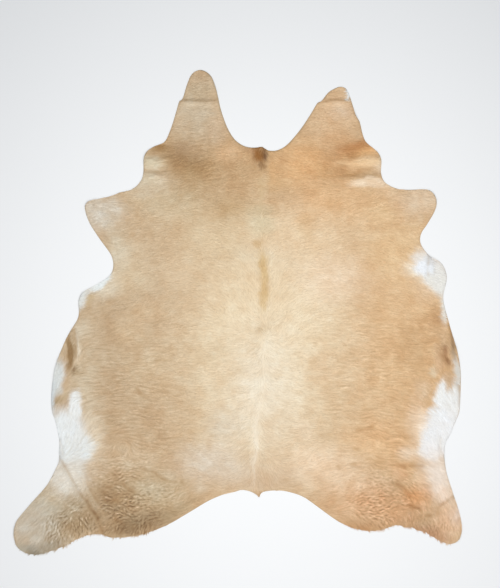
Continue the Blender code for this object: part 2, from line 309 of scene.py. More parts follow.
SWIRLS = [
    Swirl("whorl on the back", 128, -100, 42, 0.8),
    Swirl("left flank swirl", -575, -672, 66, 0.85),
    Swirl("right flank swirl", 736, -640, 40, 0.45),
    Swirl("right side swirl", 361, -565, 44, 0.42),
    Swirl("right side lower swirl", 611, -480, 40, 0.42),
]

FEATHERS = [
    Feather("left hind leg, underside", -780, -1110, 160, 24),
    Feather("left haunch, underside", -500, -1100, 170, 16),
    Feather("left hoof end", -960, -1200, 140, 18),
    Feather("right hind leg, underside", 880, -1075, 130, 22),
    Feather("right haunch, underside", 660, -1075, 140, 18),
    Feather("right hoof end", 1020, -1140, 100, 15),
    Feather("tail root", 106, -915, 30, 3),
    Feather("crest", 125, 815, 45, 3),
    Feather("notch, right of the crest", 170, 815, 30, 7),
]

# Creases and dents in the coat: the hair sinks by `depth` mm along a line and is painted darker
# there by `shade`, painted shade for the shade that falls in it.  Below zero it stands up and is
# painted lighter, painted light on a ridge.
CREASES = [
    Crease("left flap crease", -284, 1060, -106, 1055, 4.5, 1.6, 0.34),
    Crease("left flap, lighter below", -268, 1040, -100, 1034, 10, 0, -0.05),
    Crease("right flap crease, left", 404, 1046, 470, 1058, 4.5, 1.4, 0.30),
    Crease("right flap crease, right", 470, 1058, 562, 1062, 4.5, 1.4, 0.28),
    Crease("left cheek line", -476, 706, -385, 697, 6, 1.2, 0.15),
    Crease("left cheek line, light side", -470, 664, -370, 662, 14, -0.5, -0.06),
    Crease("right cheek line, inner end", 400, 674, 480, 677, 7, 0.8, 0.09),
    Crease("crest, light stroke on the left", 58, 740, 104, 710, 5, -0.4, -0.14),
    Crease("crest, light stroke on the right", 184, 748, 140, 708, 5, -0.4, -0.11),
    Crease("right cheek line", 480, 678, 640, 686, 4.5, 1.4, 0.13),
    Crease("right cheek line, outer end", 640, 686, 712, 694, 4.5, 1.2, 0.07),
    Crease("left foreleg, light crease", -704, 548, -642, 372, 5, -0.5, -0.07),
    Crease("left hock crease, rim end", -892, -720, -849, -789, 3.4, 1.4, 0.30),
    Crease("left hock crease, upper", -849, -789, -799, -889, 3.4, 1.6, 0.36),
    Crease("left hock crease, middle", -799, -889, -752, -942, 5, 2.0, 0.55),
    Crease("left hock crease, lower", -752, -946, -696, -1032, 7, 2.8, 0.85),
    Crease("left hock crease, foot", -696, -1036, -676, -1090, 8, 1.6, 0.28),
    Crease("left hock, second line", -874, -780, -829, -864, 3.4, 0.8, 0.13),
    Crease("left hock, second line, lower", -829, -864, -786, -926, 4, 0.8, 0.14),
    Crease("left thigh crease", -762, -812, -732, -890, 6, 1.0, 0.14),
    Crease("left thigh crease, lower", -732, -890, -702, -944, 8, 1.6, 0.28),
    Crease("between the thigh creases", -792, -800, -716, -956, 13, -0.9, -0.11),
    Crease("left haunch crease", -489, -772, -409, -809, 6, 1.2, 0.24),
    Crease("left haunch crease, middle", -409, -811, -352, -839, 5.5, 1.4, 0.34),
    Crease("left haunch crease, lower", -350, -840, -306, -846, 5, 1.0, 0.24),
    Crease("left haunch pit", -280, -854, -274, -857, 8, 1.0, 0.36),
    Crease("left rump spot", -392, -622, -374, -602, 14, 0.6, 0.15),
    Crease("left rump small spot", -128, -614, -118, -614, 8, 0.5, 0.20),
    Crease("left thigh dent", -664, -878, -622, -866, 7, 1.2, 0.34),
    Crease("left thigh dent, middle", -610, -862, -576, -858, 7, 1.4, 0.42),
    Crease("left thigh dent, right", -566, -866, -520, -898, 7, 1.2, 0.36),
    Crease("left thigh, dark hollow", -690, -884, -672, -904, 13, 1.2, 0.32),
    Crease("left thigh, upper hollow", -662, -818, -650, -822, 8, 1.0, 0.18),
    Crease("left thigh, line below", -662, -940, -598, -946, 7, 1.2, 0.34),
    Crease("left curls, pit", -612, -1038, -584, -1046, 9, 1.4, 0.44),
    Crease("left leg, pit", -818, -1004, -808, -1010, 9, 1.2, 0.38),
    Crease("left flank nick", -508, -378, -458, -434, 7, 0.8, 0.17),
    Crease("left flank dent", -686, -408, -630, -412, 9, 0.6, 0.12),
    Crease("left belly fold line", -812, -90, -806, -220, 5, 1.0, 0.28),
    Crease("left flank, rim fold", -886, -640, -876, -712, 8, 1.0, 0.13),
    Crease("right elbow fold", 952, 300, 950, 180, 4, 0.8, 0.26),
    Crease("right elbow fold, second line", 984, 290, 986, 200, 4, 0.5, 0.10),
    Crease("right flank, rim shadow", 1054, -58, 1086, -205, 4.5, 0.4, 0.30),
    Crease("right flank, rim shadow, lower", 1103, -368, 1106, -472, 4.5, 0.4, 0.22),
    Crease("right flank, shadow by the foot", 1012, -632, 1010, -742, 7, 0.5, 0.12),
    Crease("right hock crease, rim end", 1080, -922, 1047, -939, 3.5, 1.4, 0.24),
    Crease("right hock crease, middle", 1046, -940, 1017, -958, 3.5, 1.4, 0.30),
    Crease("right hock crease, turn", 1016, -960, 1001, -980, 3.5, 1.2, 0.26),
    Crease("right hock crease, foot", 1001, -982, 998, -1014, 6, 0.8, 0.12),
    Crease("right hollow", 866, -962, 916, -982, 8, 1.8, 0.78),
    Crease("right hollow, small", 955, -1014, 967, -1014, 8, 1.0, 0.48),
    Crease("right haunch dent", 796, -862, 818, -870, 10, 1.2, 0.62),
    Crease("right haunch line", 828, -882, 856, -924, 8, 1.0, 0.36),
    Crease("right groin line", 868, -764, 926, -770, 7, 0.8, 0.32),
    Crease("right groin dent", 806, -768, 836, -776, 9, 1.0, 0.46),
    Crease("right rump stroke", 601, -592, 671, -574, 7, 0.8, 0.22),
    Crease("right rump pit", 585, -684, 598, -685, 8, 0.8, 0.28),
    Crease("right rump pit, lower", 503, -772, 508, -778, 8, 0.8, 0.30),
    Crease("right rump pit, right", 566, -758, 580, -760, 8, 0.8, 0.24),
    Crease("right side eye", 334, -570, 350, -572, 8, 0.4, 0.08),
]

TAN = "#d3b48d"

# The colours of the coat, laid over each other from the first row to the last.  A patch fades out
# over the share `edge` of its reach: 1.0 is a soft cloud, and less is a mark with a clearer rim.
# Most rows are the hair's own colour; the rows marked below paint light and shade.
PATCHES = [
    # broad tones
    Patch("left side", -620, -150, 760, 1250, "#c6aa86", 1.0),
    Patch("right side", 900, -150, 780, 1250, "#dfba8c", 1.0),
    Patch("back", 110, -200, 640, 960, "#e9d7b6", 1.0),
    Patch("back, right of the backbone", 300, -80, 420, 760, "#ead7b7", 0.6),
    Patch("back, right, low", 320, -590, 110, 100, "#efdcc3", 0.35),
    Patch("palest back", 110, -370, 300, 520, "#ebddc5", 1.0),
    Patch("withers, left", -60, 420, 420, 320, "#dcc7a3", 0.6),
    Patch("withers, dark band", -25, 525, 230, 110, "#b9935f", 0.65),
    Patch("fore back", 160, 275, 260, 130, "#e8e0c9", 0.55),
    Patch("withers, right", 330, 400, 420, 330, "#e6cba6", 0.8),
    Patch("withers, right, shade", 330, 458, 80, 70, "#d4a871", 0.5),
    Patch("right shoulder, orange", 430, 560, 240, 150, "#e5b680", 0.6),
    Patch("right shoulder, pale", 780, 310, 250, 250, "#eaca9c", 0.66),
    Patch("right side, upper pale", 470, 160, 280, 190, "#f3dec4", 0.55),
    Patch("left side, middle, upper pale", -540, 170, 150, 110, "#dfc9a5", 0.45),
    Patch("left side, middle, warm", -440, 10, 150, 90, "#dcc09a", 0.5),
    Patch("left side, middle, light", -530, -95, 130, 130, "#e2caa6", 0.5),
    Patch("left side, towards the back", -290, 210, 120, 110, "#e3cdac", 0.5),
    Patch("left flank, upper, tan", -690, -560, 90, 110, "#c9b28e", 0.5),
    Patch("left flank, low", -510, -750, 230, 110, "#e3d1b4", 0.65, turn=-14),
    Patch("back, lower left, tan", -230, -690, 120, 80, "#cbb18d", 0.4),
    Patch("back, left, below the whorl", -90, -190, 90, 90, "#d6c19f", 0.5),
    Patch("back, left, low", -60, -560, 150, 130, "#d9d0c0", 0.42),
    Patch("right side, low, warm", 700, -650, 270, 170, "#ebbf8c", 0.55, turn=-8),
    Patch("right side, middle, tan", 860, -180, 120, 200, "#c9a273", 0.55),
    Patch("right flank, orange above the mark", 985, -45, 75, 120, "#bf9161", 0.5),
    Patch("right haunch, upper pale", 610, -870, 230, 100, "#f3d3b0", 0.5),
    Patch("withers, right, upper shade", 320, 400, 70, 60, "#d8b98c", 0.4),
    Patch("right side, tan", 412, -300, 115, 170, "#d9b488", 0.4),
    # neck
    Patch("left neck", -200, 745, 330, 260, "#b4905f", 0.83, turn=10),
    Patch("neck, warm", 160, 780, 540, 170, "#c48f54", 0.22),
    Patch("left neck, dark under the flap", -250, 770, 150, 100, "#a17c50", 0.55),
    Patch("left neck, dark by the flap", -262, 832, 74, 54, "#94693a", 0.5),
    # 'left neck, light below the cheek' is painted light on the lit slope of a neck wrinkle.
    Patch("left neck, light below the cheek", -345, 765, 55, 34, "#ceb28a", 0.6),
    Patch("left neck, dark spots", -222, 575, 80, 140, "#b8945f", 0.45),
    Patch("middle of the neck", 60, 690, 300, 240, "#cba87c", 0.8),
    Patch("neck beside the crest, right", 165, 720, 60, 170, "#e2b884", 0.6),
    Patch("neck beside the crest, left", -40, 798, 115, 85, "#e6c297", 0.8),
    Patch("neck left of the crest", 50, 775, 50, 60, "#dfb98a", 0.6),
    Patch("right neck", 380, 730, 340, 240, "#d3a36c", 0.8, turn=-6),
    Patch("right neck, inner", 305, 745, 170, 200, "#eec18b", 0.67),
    Patch("neck beside the crest, tan", 212, 762, 40, 40, "#c79a69", 0.4),
    Patch("right neck, orange", 560, 800, 170, 120, "#d79c5a", 0.58),
    Patch("left flap", -200, 1000, 200, 290, "#d2c1a6", 0.8, edge=0.9),
    Patch("left flap, root", -185, 840, 130, 80, "#d2b28a", 0.45),
    Patch("left flap, inner side", -90, 910, 80, 110, "#dac2a4", 0.6),
    # 'left flap, above the crease' is painted shade on the slope above the flap's crease.
    Patch("left flap, above the crease", -190, 1100, 130, 60, "#c9b290", 0.6, edge=0.8),
    Patch("right flap", 470, 1000, 220, 290, "#e3bf95", 0.8, edge=0.9),
    Patch("right flap, root", 480, 865, 130, 66, "#d3a26d", 0.5),
    Patch("right flap, pale middle", 505, 1000, 110, 70, "#e6ceb2", 0.6),
    Patch("left shoulder", -340, 560, 300, 170, "#d3bf9d", 0.8),
    Patch("left side, upper pale", -520, 240, 240, 280, "#e4d5b8", 0.45),
    Patch("left foreleg, root, pale", -590, 490, 100, 100, "#e2dac8", 0.42),
    Patch("left side, middle, pale", -450, -270, 220, 230, "#dfc9a6", 0.45),
    Patch("back, left, tan", -20, -310, 150, 140, "#d8bb92", 0.35),
    Patch("right shoulder", 640, 540, 380, 200, "#e3bd8e", 0.7),
    Patch("right shoulder, light spot", 710, 500, 110, 90, "#f0d6ac", 0.6),
    Patch("left foreleg", -680, 490, 165, 155, "#dcd3c3", 0.82),
    Patch("left armpit", -600, 300, 110, 210, "#ddd1b9", 0.8),
    Patch("right foreleg", 900, 560, 190, 140, "#e9d4b8", 0.8),
    # 'left cheek, light' and 'left cheek, dark' are painted light and painted shade on the two slopes of
    # a cheek wrinkle; the pale rows between them are the hair's colour.
    Patch("left cheek, light", -418, 740, 100, 56, "#dccfb2", 0.9, turn=-8, edge=0.9),
    Patch("left cheek and throat, pale", -440, 650, 170, 110, "#dfd4be", 0.6),
    Patch("left cheek, lower", -430, 660, 90, 50, "#dccfb4", 0.6, edge=0.9),
    Patch("left cheek, dark", -376, 822, 84, 36, "#a57d48", 0.85, edge=0.9),
    # 'right cheek, light', 'right cheek, dark', 'right cheek, light above', 'right throat, dark' and
    # 'right throat, light' are painted light and painted shade on the slopes of the cheek and throat
    # wrinkles; 'right cheek, pale end' is the hair's colour.
    Patch("right cheek, light", 615, 750, 185, 46, "#f3d4a8", 0.8, edge=0.9),
    Patch("right cheek, pale end", 715, 730, 60, 50, "#f2dcc0", 0.6),
    Patch("right cheek, dark", 585, 826, 155, 46, "#bd8146", 0.8, turn=8, edge=0.9),
    Patch("right cheek, light above", 640, 802, 105, 38, "#f0be82", 0.72),
    Patch("right throat, dark", 560, 700, 205, 34, "#c6965f", 0.52, turn=4),
    Patch("right throat, light", 668, 645, 162, 36, "#f0dabd", 0.8, turn=4, edge=0.5),
    Patch("right throat, inner", 370, 650, 70, 40, "#e4bf92", 0.5),
    Patch("right shoulder, upper pale", 740, 610, 80, 60, "#f0d4b0", 0.5),
    Patch("right flap tip, white", 547, 1090, 18, 40, "#f0f2f0", 1.0, edge=0.3),
    # backbone
    Patch("neck, right of the backbone, light", 195, 645, 110, 80, "#deba8a", 0.6),
    Patch("neck, right of the backbone", 170, 540, 85, 60, "#c89c6a", 0.6),
    Patch("withers, beside the backbone", 90, 540, 60, 60, "#c9a980", 0.4),
    Patch("pale band above the backbone", 118, 445, 95, 110, "#ddd0b0", 0.75),
    Patch("beside the backbone, dark", 111, 510, 110, 40, "#cbb48d", 0.5),
    Patch("pale line down the neck", 124, 630, 24, 120, "#e2cba4", 0.75),
    Patch("crest", 104, 794, 45, 52, "#9c682c", 1.0, edge=0.7),
    Patch("crest, left", 68, 808, 46, 18, "#bd8f66", 0.5),
    Patch("crest, dark side", 131, 795, 17, 30, "#64401f", 0.9, edge=0.9),
    Patch("crest, lower end", 121, 744, 21, 40, "#8d6233", 0.78, edge=0.9),
    Patch("stripe, head", 112, 330, 38, 34, "#cfad7a", 0.7, edge=0.9),
    Patch("stripe, upper part", 124, 215, 33, 110, "#d0b07a", 0.85, edge=0.8),
    Patch("stripe, lower part", 127, 95, 32, 125, "#d0b07c", 0.88, edge=0.8),
    Patch("stripe, lower end", 130, 30, 24, 70, "#d8bc8c", 0.6, edge=0.9),
    Patch("whorl, shade", 131, -92, 66, 18, "#c6a87b", 0.55, edge=0.9),
    Patch("whorl, pale line below", 131, -180, 26, 70, "#f3ead6", 0.5),
    Patch("rump, right of the line", 165, -640, 60, 170, "#dfc6a4", 0.35),
    Patch("rump", 120, -830, 320, 140, "#d2b695", 0.85),
    Patch("rump, left, cream", -125, -755, 275, 165, "#e1d6c6", 0.66),
    Patch("rump, left, low", -175, -885, 90, 50, "#dfceb4", 0.5),
    Patch("rump, right, low", 380, -880, 110, 50, "#e9d0ae", 0.6),
    Patch("rump, right, pale", 430, -780, 330, 180, "#f5ddbf", 0.8, turn=-14),
    Patch("beside the line down the rump", 98, -480, 44, 240, "#f0e4cd", 0.30, turn=-4),
    Patch("line down the rump", 92, -640, 12, 290, "#f4ead8", 0.5, turn=-4, edge=0.9),
    Patch("tail root", 106, -905, 40, 34, "#c59f74", 0.6, edge=0.8),
    # left flank: white with brown marks
    Patch("left elbow, cream", -655, 110, 130, 80, "#e1d5be", 0.85, turn=25),
    Patch("left elbow, white", -662, 166, 66, 34, "#e4e8e6", 1.0, turn=40, edge=0.7),
    Patch("left elbow, white band", -694, 136, 90, 36, "#eaeeec", 1.0, turn=28, edge=0.6),
    Patch("left elbow, white lobe", -778, 68, 46, 80, "#e6e9e7", 1.0, turn=-12, edge=0.6),
    Patch("left elbow, tan tongue", -734, 64, 22, 60, "#c9b086", 0.8, turn=-14, edge=0.8),
    Patch("left belly, pale line", -797, -140, 15, 120, "#e4d9c6", 0.8, turn=2, edge=0.7),
    Patch("left belly, pale, upper", -772, -80, 55, 85, "#e0d3bb", 0.6),
    Patch("left belly, pale", -745, -300, 160, 520, "#d9c8ab", 0.6),
    Patch("left flank, upper white", -905, -316, 64, 128, "#dee1df", 1.0, turn=-4, edge=0.6),
    Patch("left belly, tan edge", -882, -178, 40, 58, "#ccb595", 0.9, turn=-20, edge=0.8),
    Patch("left belly, brown", -842, -190, 24, 142, "#9c7c51", 1.0, turn=4, edge=0.6),
    Patch("left belly, brown spot", -803, -282, 22, 34, "#8d6c40", 0.85, edge=0.6),
    Patch("left belly, tan beside the spot", -772, -290, 40, 50, "#bda078", 0.6),
    Patch("left flank, cream beside the white", -712, -645, 100, 260, "#efe3cd", 0.78, turn=2),
    Patch("left flank, white", -863, -618, 152, 204, "#edf0f0", 1.0, edge=0.56),
    Patch("left flank, white, lower lobe", -790, -680, 100, 110, "#ebedeb", 1.0, edge=0.55),
    Patch("left flank, white horn", -805, -460, 49, 100, "#f0f2f1", 1.0, edge=0.5),
    Patch("left flank, white tail", -808, -790, 66, 130, "#e0ddd6", 1.0, turn=-8, edge=0.9),
    Patch("left belly, tan link", -866, -418, 68, 32, "#ccb491", 1.0, turn=34, edge=0.8),
    Patch("left belly, tan link, core", -900, -440, 28, 24, "#a08762", 0.8, turn=8, edge=0.9),
    Patch("left belly, grey above the link", -885, -385, 34, 30, "#d0d0c8", 0.6),
    Patch("left belly, tan link, up to the side", -812, -372, 34, 60, "#cdb695", 0.8, turn=-24, edge=0.9),
    Patch("left flank, pale rim", -922, -420, 28, 120, "#d2dbe0", 0.9, edge=0.9),
    Patch("left hock, pale", -880, -830, 100, 120, "#e6e1d9", 0.9, turn=30, edge=0.8),
    # left haunch and hind leg
    Patch("left haunch", -420, -930, 330, 200, "#c8b18d", 0.8, turn=-12),
    Patch("left haunch, pale", -400, -860, 230, 120, "#d6c6a8", 0.5, turn=-8),
    Patch("left haunch, dark curls", -620, -960, 200, 150, "#b0916a", 0.8),
    Patch("left haunch, dark rim", -500, -1060, 310, 88, "#8a6b42", 0.72, turn=12),
    Patch("left haunch, rim towards the rump", -290, -985, 190, 45, "#b39a74", 0.6, turn=27),
    Patch("left leg", -940, -980, 360, 290, "#cbbca1", 0.9, turn=20, edge=0.9),
    Patch("left hock, cream", -840, -835, 160, 150, "#ece4d6", 0.9, turn=40),
    Patch("left leg, end", -1020, -1050, 190, 190, "#d6ccbb", 0.85, edge=0.9),
    Patch("left leg, tan above the curls", -815, -935, 70, 40, "#bb9f78", 0.6, turn=-30),
    Patch("left leg, tan under the end", -935, -1115, 60, 30, "#a98f6d", 0.6, turn=10),
    Patch("left leg, grey underside", -940, -1168, 170, 58, "#aca08c", 0.85, turn=14),
    Patch("left leg, hoof end rim", -1085, -1172, 60, 60, "#b9b3a2", 0.8),
    Patch("left leg, dark underside", -1005, -1210, 110, 32, "#8a8371", 0.85, turn=4),
    Patch("left leg, dark rim of the hoof end", -990, -1236, 90, 20, "#665d50", 0.85, turn=2),
    Patch("left leg, dark curls", -805, -1050, 165, 86, "#b0926a", 0.78, turn=6, edge=0.9),
    Patch("left leg, lighter curls", -820, -1035, 55, 34, "#d8c3a2", 0.4, turn=10),
    Patch("left haunch, lighter curls", -585, -938, 50, 34, "#d6bb94", 0.45),
    Patch("left leg, pale root", -915, -940, 60, 50, "#e2d2b6", 0.35),
    Patch("left leg, grey at the hoof end", -1030, -1175, 64, 40, "#74746b", 0.45, turn=-10),
    # right flank: white with brown marks
    Patch("right elbow, pale tongue", 885, 215, 115, 75, "#f2e8d6", 0.9, turn=-16),
    Patch("right elbow, pale above the tongue", 905, 305, 60, 50, "#efe9e0", 0.7),
    Patch("right elbow, cream beside the white", 935, 130, 110, 130, "#f1e0c8", 0.4, turn=24),
    Patch("right elbow, white", 985, 170, 150, 84, "#ecebe6", 1.0, turn=-50, edge=0.55),
    Patch("right elbow, white top", 930, 238, 76, 76, "#f0f3f7", 1.0, turn=-20, edge=0.6),
    Patch("right elbow, white point", 880, 288, 60, 30, "#f0eeea", 0.7, turn=10),
    # 'right elbow, rim' and 'right elbow, white rim top' are greyer white: painted shade on the rim
    # beyond the elbow fold.
    Patch("right elbow, rim", 1010, 225, 60, 80, "#e9e7e2", 0.95, turn=20, edge=0.8),
    Patch("right elbow, white rim top", 955, 275, 50, 40, "#e6e6e6", 0.9, turn=-30, edge=0.7),
    Patch("right flank, thin white", 1028, 10, 34, 110, "#e9e4da", 1.0, edge=0.7),
    Patch("right flank, brown edge", 1030, -190, 60, 150, "#cea97f", 0.9, turn=-6, edge=0.8),
    Patch("right flank, cream beside the white", 913, -600, 97, 230, "#fbe9d3", 0.82, turn=10),
    Patch("right flank, cream above the white", 915, -385, 70, 80, "#e3cdb0", 0.6),
    Patch("right flank, white, upper lobe", 1020, -405, 52, 80, "#f0f0ee", 1.0, turn=-10, edge=0.5),
    Patch("right flank, white", 1050, -440, 86, 146, "#f0f0ee", 1.0, edge=0.45),
    Patch("right flank, white belly", 1006, -605, 122, 160, "#f0f0f0", 1.0, turn=-14, edge=0.40),
    Patch("right flank, white link", 990, -500, 52, 60, "#f0f0ef", 1.0, turn=-30, edge=0.6),
    Patch("right flank, white foot", 957, -690, 96, 74, "#f1f0f0", 1.0, edge=0.5),
    Patch("right flank, pale strip", 1092, -300, 30, 150, "#dedad2", 1.0, turn=4, edge=0.7),
    Patch("right flank, light beside the mark", 1002, -240, 42, 100, "#e6c8a4", 0.65),
    Patch("right flank, dark mark", 1043, -215, 26, 76, "#b58a5d", 0.7, turn=12, edge=0.9),
    Patch("right flank, dark mark, head", 1040, -173, 17, 20, "#936236", 0.75, edge=0.8),
    Patch("right flank, dark mark, tail", 1049, -230, 15, 46, "#976b40", 0.7, turn=8, edge=0.8),
    # 'right flank, dark rim' is a painted shadow along the lifted rim.
    Patch("right flank, dark rim", 1078, -165, 24, 105, "#a78b6b", 0.85, turn=8, edge=0.9),
    Patch("right flank, tan finger", 1048, -340, 30, 66, "#cfae86", 0.9, edge=0.6),
    Patch("right flank, light spot", 968, -296, 36, 44, "#e8d8bb", 0.8, edge=0.9),
    Patch("right hock, pale", 992, -806, 146, 190, "#f4e8dc", 0.92),
    Patch("right groin, pale", 850, -700, 95, 64, "#f5e4ce", 0.75),
    # right haunch and hind leg
    Patch("right haunch", 640, -960, 380, 140, "#e4b689", 0.8),
    Patch("right haunch, upper dark", 820, -772, 95, 42, "#dba368", 0.45),
    Patch("right haunch, dark curls", 880, -910, 120, 95, "#e6aa70", 0.75),
    Patch("right haunch, dark rim", 620, -1075, 360, 60, "#bf8b57", 0.7),
    Patch("right haunch, low", 780, -1005, 190, 75, "#dfa771", 0.45),
    Patch("right leg", 1050, -1040, 130, 150, "#e6bf9a", 0.8, edge=0.9),
    Patch("right hock, pale, lower", 1022, -905, 95, 75, "#fbe6d2", 0.85, turn=-35),
    Patch("right leg, end", 1098, -1000, 50, 95, "#e8d2c0", 0.7),
    Patch("right leg, tan behind the hollow", 880, -1010, 60, 40, "#dcb48e", 0.5),
    Patch("right leg, dark underside", 955, -1098, 175, 66, "#b88660", 0.8, turn=-18),
    Patch("right leg, light beside the hollow", 925, -966, 75, 45, "#f4cba4", 0.45, turn=-20),
    Patch("right leg, tan below the hollow", 795, -1035, 55, 36, "#b5845c", 0.3),
    Patch("right groin, warm", 800, -800, 90, 60, "#f6cda4", 0.4, turn=-20),
    Patch("right hock, warm edge", 905, -826, 55, 60, "#fbd3a6", 0.4),
]

# Stage and lights, in metres and watts.
FLOOR_WIDTH = 40.0
FLOOR_COLOUR = (0.845, 0.855, 0.865, 1.0)
VIEW_CENTRE = (0.061, 0.091)
VIEW_HEIGHT = 2.94          # what the camera takes in from the bottom to the top of its picture
CAMERA_RISE = 5.2
CAMERA_REACH = 100
SENSOR = 36.0
SURROUND = (0.93, 0.96, 1.0, 1.0)
SURROUND_STRENGTH = 0.45
LIGHTS = [
    Softbox("overhead", (0.15, 0.05, 2.8), (0.12, 0.1, 0.0), 2.4, 57, (1.0, 0.99, 0.97)),
    Softbox("window", (0.9, -6.5, 4.2), (0.1, 0.0, 0.0), 3.1, 184, (1.0, 0.98, 0.96)),
]

# Finishes: how often in a metre their patterns change.  Single hairs are about 0.06 mm and suede's
# nap is about 0.2 mm, too fine to show, so both are drawn as coarse as it takes to show them.
STRANDS_ACROSS = 800.0
STRANDS_ALONG = 28.0
UNDERHAIR_GRAIN = 450.0
SUEDE_CLOUDS = 9.0
SUEDE_NAP = 380.0
GRAIN_LOW = 0.3             # nearly all of a grain pattern's values lie between these
GRAIN_HIGH = 0.7


def smooth_step(value):
    """Ease from 0 to 1 as value goes from 0 to 1."""
    value = np.clip(value, 0.0, 1.0)
    return value * value * (3.0 - 2.0 * value)


def linear(code):
    """An sRGB hex colour as three linear numbers."""
    parts = [int(code[i:i + 2], 16) / 255 for i in (1, 3, 5)]
    return np.array([c / 12.92 if c <= 0.04045 else ((c + 0.055) / 1.055) ** 2.4 for c in parts])


def between(values, i, j, fu, fv):
    """The value inside each cell of a grid, from its four corners.  After the last comes the first."""
    i1 = (i + 1) % values.shape[0]
    j1 = (j + 1) % values.shape[1]
    near = values[i, j] * (1 - fu) + values[i1, j] * fu
    far = values[i, j1] * (1 - fu) + values[i1, j1] * fu
    return near * (1 - fv) + far * fv


def noise(x, y, row):
    """Smooth random numbers of a row of Noise, up to its strength either way."""
    lattice = np.random.default_rng(row.seed).uniform(-1.0, 1.0, (256, 256))
    u = x / row.grain + 1000.37
    v = y / row.grain + 1000.71
    i = np.floor(u).astype(int)
    j = np.floor(v).astype(int)
    return row.strength * between(lattice, i % 256, j % 256, smooth_step(u - i), smooth_step(v - j))


def mixed(x, y, rows):
    """Several rows of Noise added up."""
    return sum(noise(x, y, row) for row in rows)


class FloorMap:
    """Numbers on a square grid over the floor, read smoothly at any place."""

    def __init__(self, step):
        low, high = CAD_BOX
        self.step = step
        self.low = (low.x - MAP_MARGIN, low.y - MAP_MARGIN)
        self.columns = int((high.x - low.x + 2 * MAP_MARGIN) / step) + 2
        self.rows = int((high.y - low.y + 2 * MAP_MARGIN) / step) + 2
        self.x, self.y = np.meshgrid(
            self.low[0] + step * np.arange(self.columns),
            self.low[1] + step * np.arange(self.rows),
            indexing="ij",
        )
        self.values = np.zeros((self.columns, self.rows))

    def at(self, x, y):
        """The value at each place, between the four points round it."""
        u = np.clip((x - self.low[0]) / self.step, 0, self.columns - 1.001)
        v = np.clip((y - self.low[1]) / self.step, 0, self.rows - 1.001)
        i = u.astype(int)
        j = v.astype(int)
        return between(self.values, i, j, u - i, v - j)

    def fill(self, known):
        """Carry the known values outwards, so that places past the edge read their neighbours."""
        values = np.where(known, self.values, 0.0)
        known = known.copy()
        while not known.all():
            total = np.zeros_like(values)
            count = np.zeros_like(values)
            for axis in (0, 1):
                for way in (-1, 1):
                    total += np.roll(values * known, way, axis)
                    count += np.roll(known, way, axis)
            fresh = ~known & (count > 0)
            values[fresh] = total[fresh] / count[fresh]
            known |= fresh
        self.values = values


def merged_solid():
    """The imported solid's mesh with its loose triangles joined, as a bmesh of its own."""
    solid = bmesh.new()
    solid.from_mesh(bpy.data.objects[NODE].data)
    bmesh.ops.remove_doubles(solid, verts=solid.verts, dist=MERGE_GAP)
    solid.normal_update()
    return solid


def read_heights(solid):
    """Maps of the solid's upper face and underside."""
    tree = BVHTree.FromBMesh(solid)
    top = FloorMap(MAP_STEP)
    under = FloorMap(MAP_STEP)
    known = np.zeros(top.values.shape, bool)
    for i in range(top.columns):
        for j in range(top.rows):
            x, y = top.x[i, j], top.y[i, j]
            hit = tree.ray_cast(Vector((x, y, RAY_ABOVE)), Vector((0, 0, -1)))[0]
            if hit is None:
                continue
            foot = tree.ray_cast(Vector((x, y, -RAY_ABOVE)), Vector((0, 0, 1)))[0]
            top.values[i, j] = hit.z
            under.values[i, j] = foot.z
            known[i, j] = True
    top.fill(known)
    under.fill(known)
    return top, under


def cut_corners(solid):
    """The solid's upper corners along the cut, in order."""
    rim = {}
    for edge in solid.edges:
        tops = [f for f in edge.link_faces if f.normal.z > TOP_NORMAL]
        walls = [f for f in edge.link_faces if abs(f.normal.z) < WALL_NORMAL]
        if len(tops) == 1 and len(walls) == 1:
            a, b = edge.verts
            rim.setdefault(a.index, []).append(b.index)
            rim.setdefault(b.index, []).append(a.index)
    start = min(rim)
    loop = [start]
    last, here = None, start
    while True:
        ahead = [v for v in rim[here] if v != last]
        last, here = here, ahead[0]
        if here == start:
            break
        loop.append(here)
    solid.verts.ensure_lookup_table()
    return np.array([solid.verts[i].co.xy for i in loop])


def smooth_loop(corners):
    """A closed smooth curve through the corners."""
    curve = []
    count = len(corners)
    for i in range(count):
        p0, p1, p2, p3 = (corners[(i + k - 1) % count] for k in range(4))
        for t in np.arange(SPAN_POINTS) / SPAN_POINTS:
            curve.append(0.5 * (
                2 * p1 + (p2 - p0) * t
                + (2 * p0 - 5 * p1 + 4 * p2 - p3) * t ** 2
                + (3 * p1 - p0 - 3 * p2 + p3) * t ** 3
            ))
    return np.array(curve)


def cut_edge(solid):
    """The line of the cut, anticlockwise, as points one EDGE_STEP apart."""
    curve = smooth_loop(cut_corners(solid))
    run = np.linalg.norm(np.roll(curve, -1, 0) - curve, axis=1)
    along = np.concatenate([[0], np.cumsum(run)])
    closed = np.vstack([curve, curve[:1]])
    places = np.linspace(0, along[-1], int(along[-1] / EDGE_STEP) + 1)[:-1]
    edge = np.stack([np.interp(places, along, closed[:, k]) for k in (0, 1)], 1)
    turn = edge[:, 0] * np.roll(edge[:, 1], -1) - np.roll(edge[:, 0], -1) * edge[:, 1]
    return edge if turn.sum() > 0 else edge[::-1].copy()


def edge_distance(edge):
    """A map of the distance to the cut edge, positive on the hide."""
    field = FloorMap(MAP_STEP)
    x = field.x.ravel()
    y = field.y.ravel()
    best = np.full(len(x), FAR)
    inside = np.zeros(len(x), bool)
    for a, b in zip(edge, np.roll(edge, -1, 0)):
        d = b - a
        t = np.clip(((x - a[0]) * d[0] + (y - a[1]) * d[1]) / (d @ d), 0, 1)
        best = np.minimum(best, np.hypot(a[0] + d[0] * t - x, a[1] + d[1] * t - y))
        if a[1] != b[1]:
            crosses = (a[1] > y) != (b[1] > y)
            inside ^= crosses & (x < a[0] + d[0] * (y - a[1]) / d[1])
    field.values = np.where(inside, best, -best).reshape(field.values.shape)
    return field


